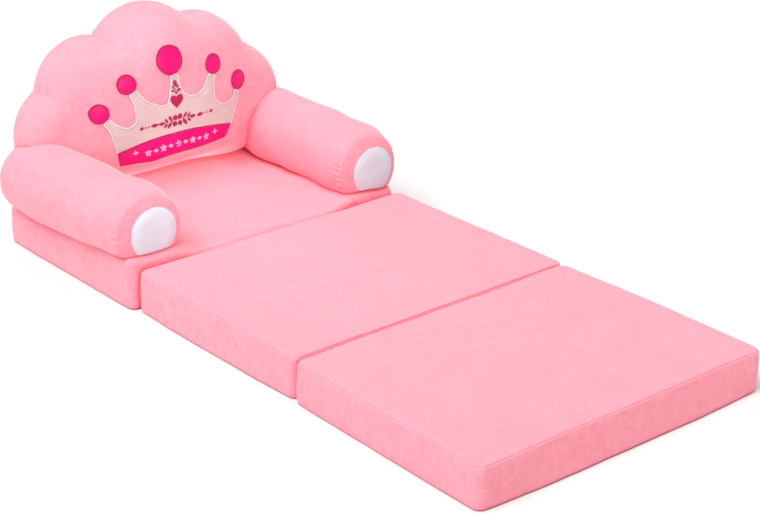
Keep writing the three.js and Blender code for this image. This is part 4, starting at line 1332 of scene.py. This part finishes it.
# The arms
for name, side, seed in (("right", -1, 60), ("left", 1, 80)):
    pieces = [
        (arm_sleeve(side, name, seed, PLUSH), "plush", "sleeve", 0.75),
        (arm_end(side, name, "front", seed + 5, PLUSH), "plush", "front_panel", 0.7),
        (arm_end(side, name, "rear", seed + 9, PLUSH), "plush", "rear_panel", 0.7),
        (arm_disc(side, name, seed + 12, WHITE), "white_fleece", "end_patch", 0.4),
        (arm_stuffing(side, name, FIBRE), "fibre", "filling", 0.7),
    ]
    for piece, slot, node, fill in pieces:
        declare(piece, slot, f"{name}_arm_{node}", fill=fill)

# The backrest
declare(back_panel(True, 100, PLUSH), "plush", "backrest_front_panel", fill=0.7)
declare(back_panel(False, 110, PLUSH), "plush", "backrest_rear_panel", fill=0.7)
declare(back_stuffing(FIBRE), "fibre", "backrest_filling", fill=0.7)

# The crown and what is stitched on it, as x and z
CROWN = [
    (-108.6, 144.4), (-113.6, 161.4), (-119.4, 182.6), (-127.3, 194.7), (-118.5, 201.8),
    (-110.7, 193.7), (-98.9, 186.2), (-88.8, 183.2), (-79.2, 186.8), (-74.7, 193.9),
    (-74.8, 209.6), (-76.3, 220.7), (-80.2, 235.2), (-70.4, 239.8), (-62.3, 229.2),
    (-49.8, 218.5), (-36.2, 211.7), (-26.0, 208.7), (-17.5, 209.8), (-13.8, 218.7),
    (-10.9, 232.6), (-9.7, 248.3), (-7.7, 255.4), (3.6, 254.3), (5.2, 242.1), (9.7, 228.5),
    (14.8, 222.1), (23.8, 216.7), (31.4, 214.4), (43.4, 215.8), (54.6, 223.3), (62.0, 232.6),
    (67.3, 240.8), (78.9, 239.1), (76.5, 223.0), (75.8, 207.2), (78.9, 198.2), (88.1, 188.7),
    (99.2, 184.8), (110.7, 186.7), (120.0, 194.1), (122.6, 201.7), (131.9, 196.5),
    (128.9, 183.5), (122.6, 168.6), (115.6, 155.7), (110.2, 148.0),
]
BANNER_TOP = [
    (-108.6, 144.4), (-81.1, 151.3), (-53.4, 155.9), (-25.3, 158.9), (2.5, 160.5),
    (31.9, 160.1), (64.5, 156.2), (110.2, 148.0),
]
BANNER_FOOT = [
    (-105.0, 122.9), (-75.6, 122.6), (-49.2, 121.5), (-21.7, 125.1), (7.3, 126.6),
    (38.3, 126.7), (67.6, 127.3), (95.2, 129.1),
]
HEART = [
    (-0.1, 200.2), (-5.0, 204.6), (-8.9, 208.7), (-11.1, 214.1), (-11.5, 218.4), (-8.8, 222.0),
    (-5.6, 222.7), (-0.9, 219.9), (0.8, 221.4), (4.1, 222.9), (7.9, 222.5), (11.0, 219.4),
    (11.6, 214.7), (9.7, 210.0), (4.3, 204.8),
]
GEMS = {
    "outer_right": (-133.2, 212.8, 15.7),
    "inner_right": (-84.5, 252.8, 15.8),
    "centre": (-7.4, 280.3, 23.4),
    "inner_left": (79.9, 255.7, 16.2),
    "outer_left": (133.5, 216.7, 16.1),
}
# Each stitched leaf, bead or dot: x, z, half its length, half its width, turn in degrees, tip
WREATH = [
    (-65.3, 177.7, 3.4, 2.2, 6.7, 0.9), (-57.8, 178.0, 1.3, 1.2, 3.9, 1.0),
    (-52.4, 178.1, 1.2, 1.1, 4.2, 1.0), (-41.8, 178.6, 7.1, 2.5, 2.6, 0.4),
    (-28.5, 178.8, 6.2, 2.3, 1.3, 0.4), (-20.4, 182.1, 4.8, 1.9, 126.9, 0.6),
    (-13.3, 184.9, 5.1, 2.3, 122.7, 0.6), (-4.6, 184.8, 4.3, 3.6, 77.1, 0.75),
    (4.2, 185.7, 4.7, 3.6, 59.1, 0.75), (14.1, 186.5, 5.8, 1.7, 51.6, 0.5),
    (20.8, 184.8, 4.6, 1.5, 43.4, 0.5), (-21.7, 174.4, 4.0, 2.0, -139.9, 0.5),
    (-14.8, 174.0, 5.8, 2.1, -126.6, 0.5), (-5.5, 174.7, 4.2, 3.5, -106.5, 0.75),
    (3.9, 175.1, 4.0, 3.3, -101.3, 0.75), (13.1, 175.2, 5.9, 2.6, -51.4, 0.6),
    (21.2, 177.1, 4.0, 1.8, -41.0, 0.6), (-10.1, 179.7, 2.0, 0.7, 23.2, 1.0),
    (10.2, 181.4, 2.2, 0.7, 27.2, 1.0), (-0.3, 180.7, 0.9, 0.9, 4.5, 1.0),
    (28.3, 181.5, 5.9, 2.6, 3.8, 0.4), (42.1, 181.0, 7.7, 2.6, -0.1, 0.4),
    (52.9, 181.2, 1.2, 1.0, -1.6, 1.0), (59.4, 180.6, 1.6, 1.2, -2.0, 1.0),
    (67.1, 180.8, 3.1, 2.4, -1.8, 1.0),
]
SPRIG = [
    (-2.4, 241.9, 5.8, 2.8, -78.1, 0.6), (-5.9, 235.8, 3.5, 1.3, -55.7, 0.6),
    (1.6, 236.6, 2.8, 1.7, -149.2, 0.6), (-6.7, 230.1, 3.7, 1.4, -9.8, 0.6),
    (4.4, 230.3, 3.8, 2.0, -163.1, 0.6), (-0.7, 226.1, 2.0, 2.1, -98.4, 0.7),
    (-2.5, 228.0, 2.0, 0.6, -45.5, 1.0), (0.7, 228.3, 1.8, 0.8, -132.7, 1.0),
    (-2.6, 232.3, 2.3, 0.5, -63.0, 1.0),
]
LEAF_GROWTH = (1.1, 1.3)
THREAD_BASE = 2.0
MOTIF_BASE = 3.4
SPARKLES = [(-79.8, 140.4), (72.7, 144.1)]
SPARKLE_SIZE = 6.5
MOTIF_COUNT = 9
PETAL_REACH = 3.5


def crown_ripple(flat, depth):
    return 0.35 * waves(flat, 30, 200) * smooth_step(depth, 3, 14)


def banner_ripple(flat, depth):
    fold = bump(flat[:, 1] - 128.3 - 1.5 * np.cos(flat[:, 0] / 40), 1.2)
    return (0.5 * waves(flat, 26, 210) - 0.9 * fold) * smooth_step(depth, 1, 5)


crown_loop = even(smooth_curve(CROWN, sharp=(0, len(CROWN) - 1)), 1.8)
crown_cloth = patch(
    "crown_satin_patch", crown_loop, 3.2, (1.1, 5), 1.4, 0.9, CREAM, ripple=crown_ripple
)
declare(crown_cloth, "crown_satin", "crown_patch")
border_loop = even(smooth_curve(CROWN, closed=False), 1.3, closed=False)
border = cord_on_back("crown_satin_border", border_loop, 1.2, 0.8, 1.5, PIPING, closed=False)
declare(border, "crown_satin")

banner_sides = [smooth_curve(side, closed=False) for side in (BANNER_TOP, BANNER_FOOT)]
banner_loop = even(np.concatenate([banner_sides[0], banner_sides[1][::-1]]), 1.8)
banner_cloth = patch(
    "crown_banner_cloth", banner_loop, 2.8, (1.6, 3), 1.2, 1.7, MAGENTA, ripple=banner_ripple
)
declare(banner_cloth, "magenta_satin", "crown_banner")
edge_loop = even(loop_inset(banner_loop, 0.6), 1.2)
declare(cord_on_back("crown_banner_edge", edge_loop, 1.2, 0.8, 2.2, EDGE), "magenta_satin")

for word, (x, z, radius) in GEMS.items():
    angle = turns(72)
    wobble = 1 + 0.012 * np.sin(3 * angle + x) + 0.01 * np.sin(5 * angle + z)
    circle = [x, z] + radius * wobble[:, None] * around(angle)
    gem = patch(f"crown_gem_{word}_satin", circle, 2.2, (1.8, 4), 1.0, 1.0, MAGENTA)
    declare(gem, "magenta_satin", f"crown_gem_{word}")
    ring_loop = even(loop_inset(circle, 1.0), 1.2)
    ring = cord_on_back(f"crown_gem_{word}_border", ring_loop, 1.4, 0.9, 1.7, EDGE)
    declare(ring, "magenta_satin")

for word, leaves in (("wreath", WREATH), ("sprig", SPRIG)):
    longer, wider = LEAF_GROWTH
    shapes = [
        blob(x, z, longer * long, wider * wide, math.radians(turn), 0.9, THREAD_BASE, tip)
        for x, z, long, wide, turn, tip in leaves
    ]
    piece = join(f"crown_{word}_stitches", shapes, THREAD)
    declare(piece, "embroidery", f"crown_{word}")

heart_loop = even(smooth_curve(HEART, sharp=(0, 7)), 1.1)
heart = patch("crown_heart_stitches", heart_loop, 1.8, (1.0, 1.6), 0.8, THREAD_BASE, THREAD)
set_run(heart, np.zeros(1))
declare(heart, "embroidery", "crown_heart")

# The banner's generic row: flowers and small leaves between two sparkles
motifs = [part for x, z in SPARKLES for part in sparkle(x, z, SPARKLE_SIZE, MOTIF_BASE)]
middle_x = [(top[0] + foot[0]) / 2 for top, foot in zip(BANNER_TOP, BANNER_FOOT)]
middle_z = [0.45 * top[1] + 0.55 * foot[1] for top, foot in zip(BANNER_TOP, BANNER_FOOT)]
for index, x in enumerate(np.linspace(SPARKLES[0][0] + 22, SPARKLES[1][0] - 20, MOTIF_COUNT)):
    z = float(np.interp(x, middle_x, middle_z))
    leaf = [blob(x, z, 4.8, 3.1, 0, 0.8, MOTIF_BASE, 0.3)]
    motifs += leaf if index % 2 else flower(x, z, MOTIF_BASE)
declare(join("crown_banner_motifs", motifs, PALE_THREAD), "embroidery")

# The studio
FLOOR_HALF = 30.0
FLOOR_Z = -0.0003
floor_mesh = bpy.data.meshes.new("studio_floor")
corners = [
    (x * FLOOR_HALF, y * FLOOR_HALF, FLOOR_Z) for x, y in ((-1, -1), (1, -1), (1, 1), (-1, 1))
]
floor_mesh.from_pydata(corners, [], [(0, 1, 2, 3)])
floor_mesh.materials.append(studio_floor("studio_floor"))
add_object("studio_floor", floor_mesh)

world = bpy.data.worlds.new("studio")
bpy.context.scene.world = world
world.use_nodes = True
backdrop = world.node_tree.nodes["Background"]
backdrop.inputs["Color"].default_value = rgb(1.0, 0.98, 0.985)
backdrop.inputs["Strength"].default_value = 0.58


def light(name, kind, place, way, energy, **settings):
    data = bpy.data.lights.new(name, kind)
    data.energy = energy
    for key, value in settings.items():
        setattr(data, key, value)
    holder = add_object(name, data)
    holder.visible_camera = False
    holder.location = place
    holder.rotation_euler = Vector(way).to_track_quat("-Z", "Y").to_euler()


def lamp(name, place, aim, power, wide, high, spread):
    shape = dict(shape="RECTANGLE", size=wide, size_y=high, spread=math.radians(spread))
    light(name, "AREA", place, np.subtract(aim, place), power, **shape)


lamp("nook_fill", (0.0, 0.40, 0.098), (0.0, 0.49, 0.07), 0.035, 0.26, 0.015, 60)
lamp("face_fill", (-0.5, -2.2, 0.75), (0.0, 0.43, 0.17), 0.31, 0.35, 0.35, 12)
light("key", "SUN", (-3.0, -0.8, 5.0), (0.47, 0.12, -0.82), 2.95, angle=math.radians(42))

CAMERA_YAW = math.radians(39.652)
CAMERA_PITCH = math.radians(22.857)
camera_data = bpy.data.cameras.new("photo_camera")
camera_data.lens = 90.19
camera_data.sensor_width = 36.0
camera = add_object("photo_camera", camera_data)
camera.location = (-1.60072, -2.01028, 1.16211)
camera.rotation_euler = (math.pi / 2 - CAMERA_PITCH, 0, -CAMERA_YAW)
bpy.context.scene.camera = camera
bpy.context.scene.view_settings.view_transform = "Standard"
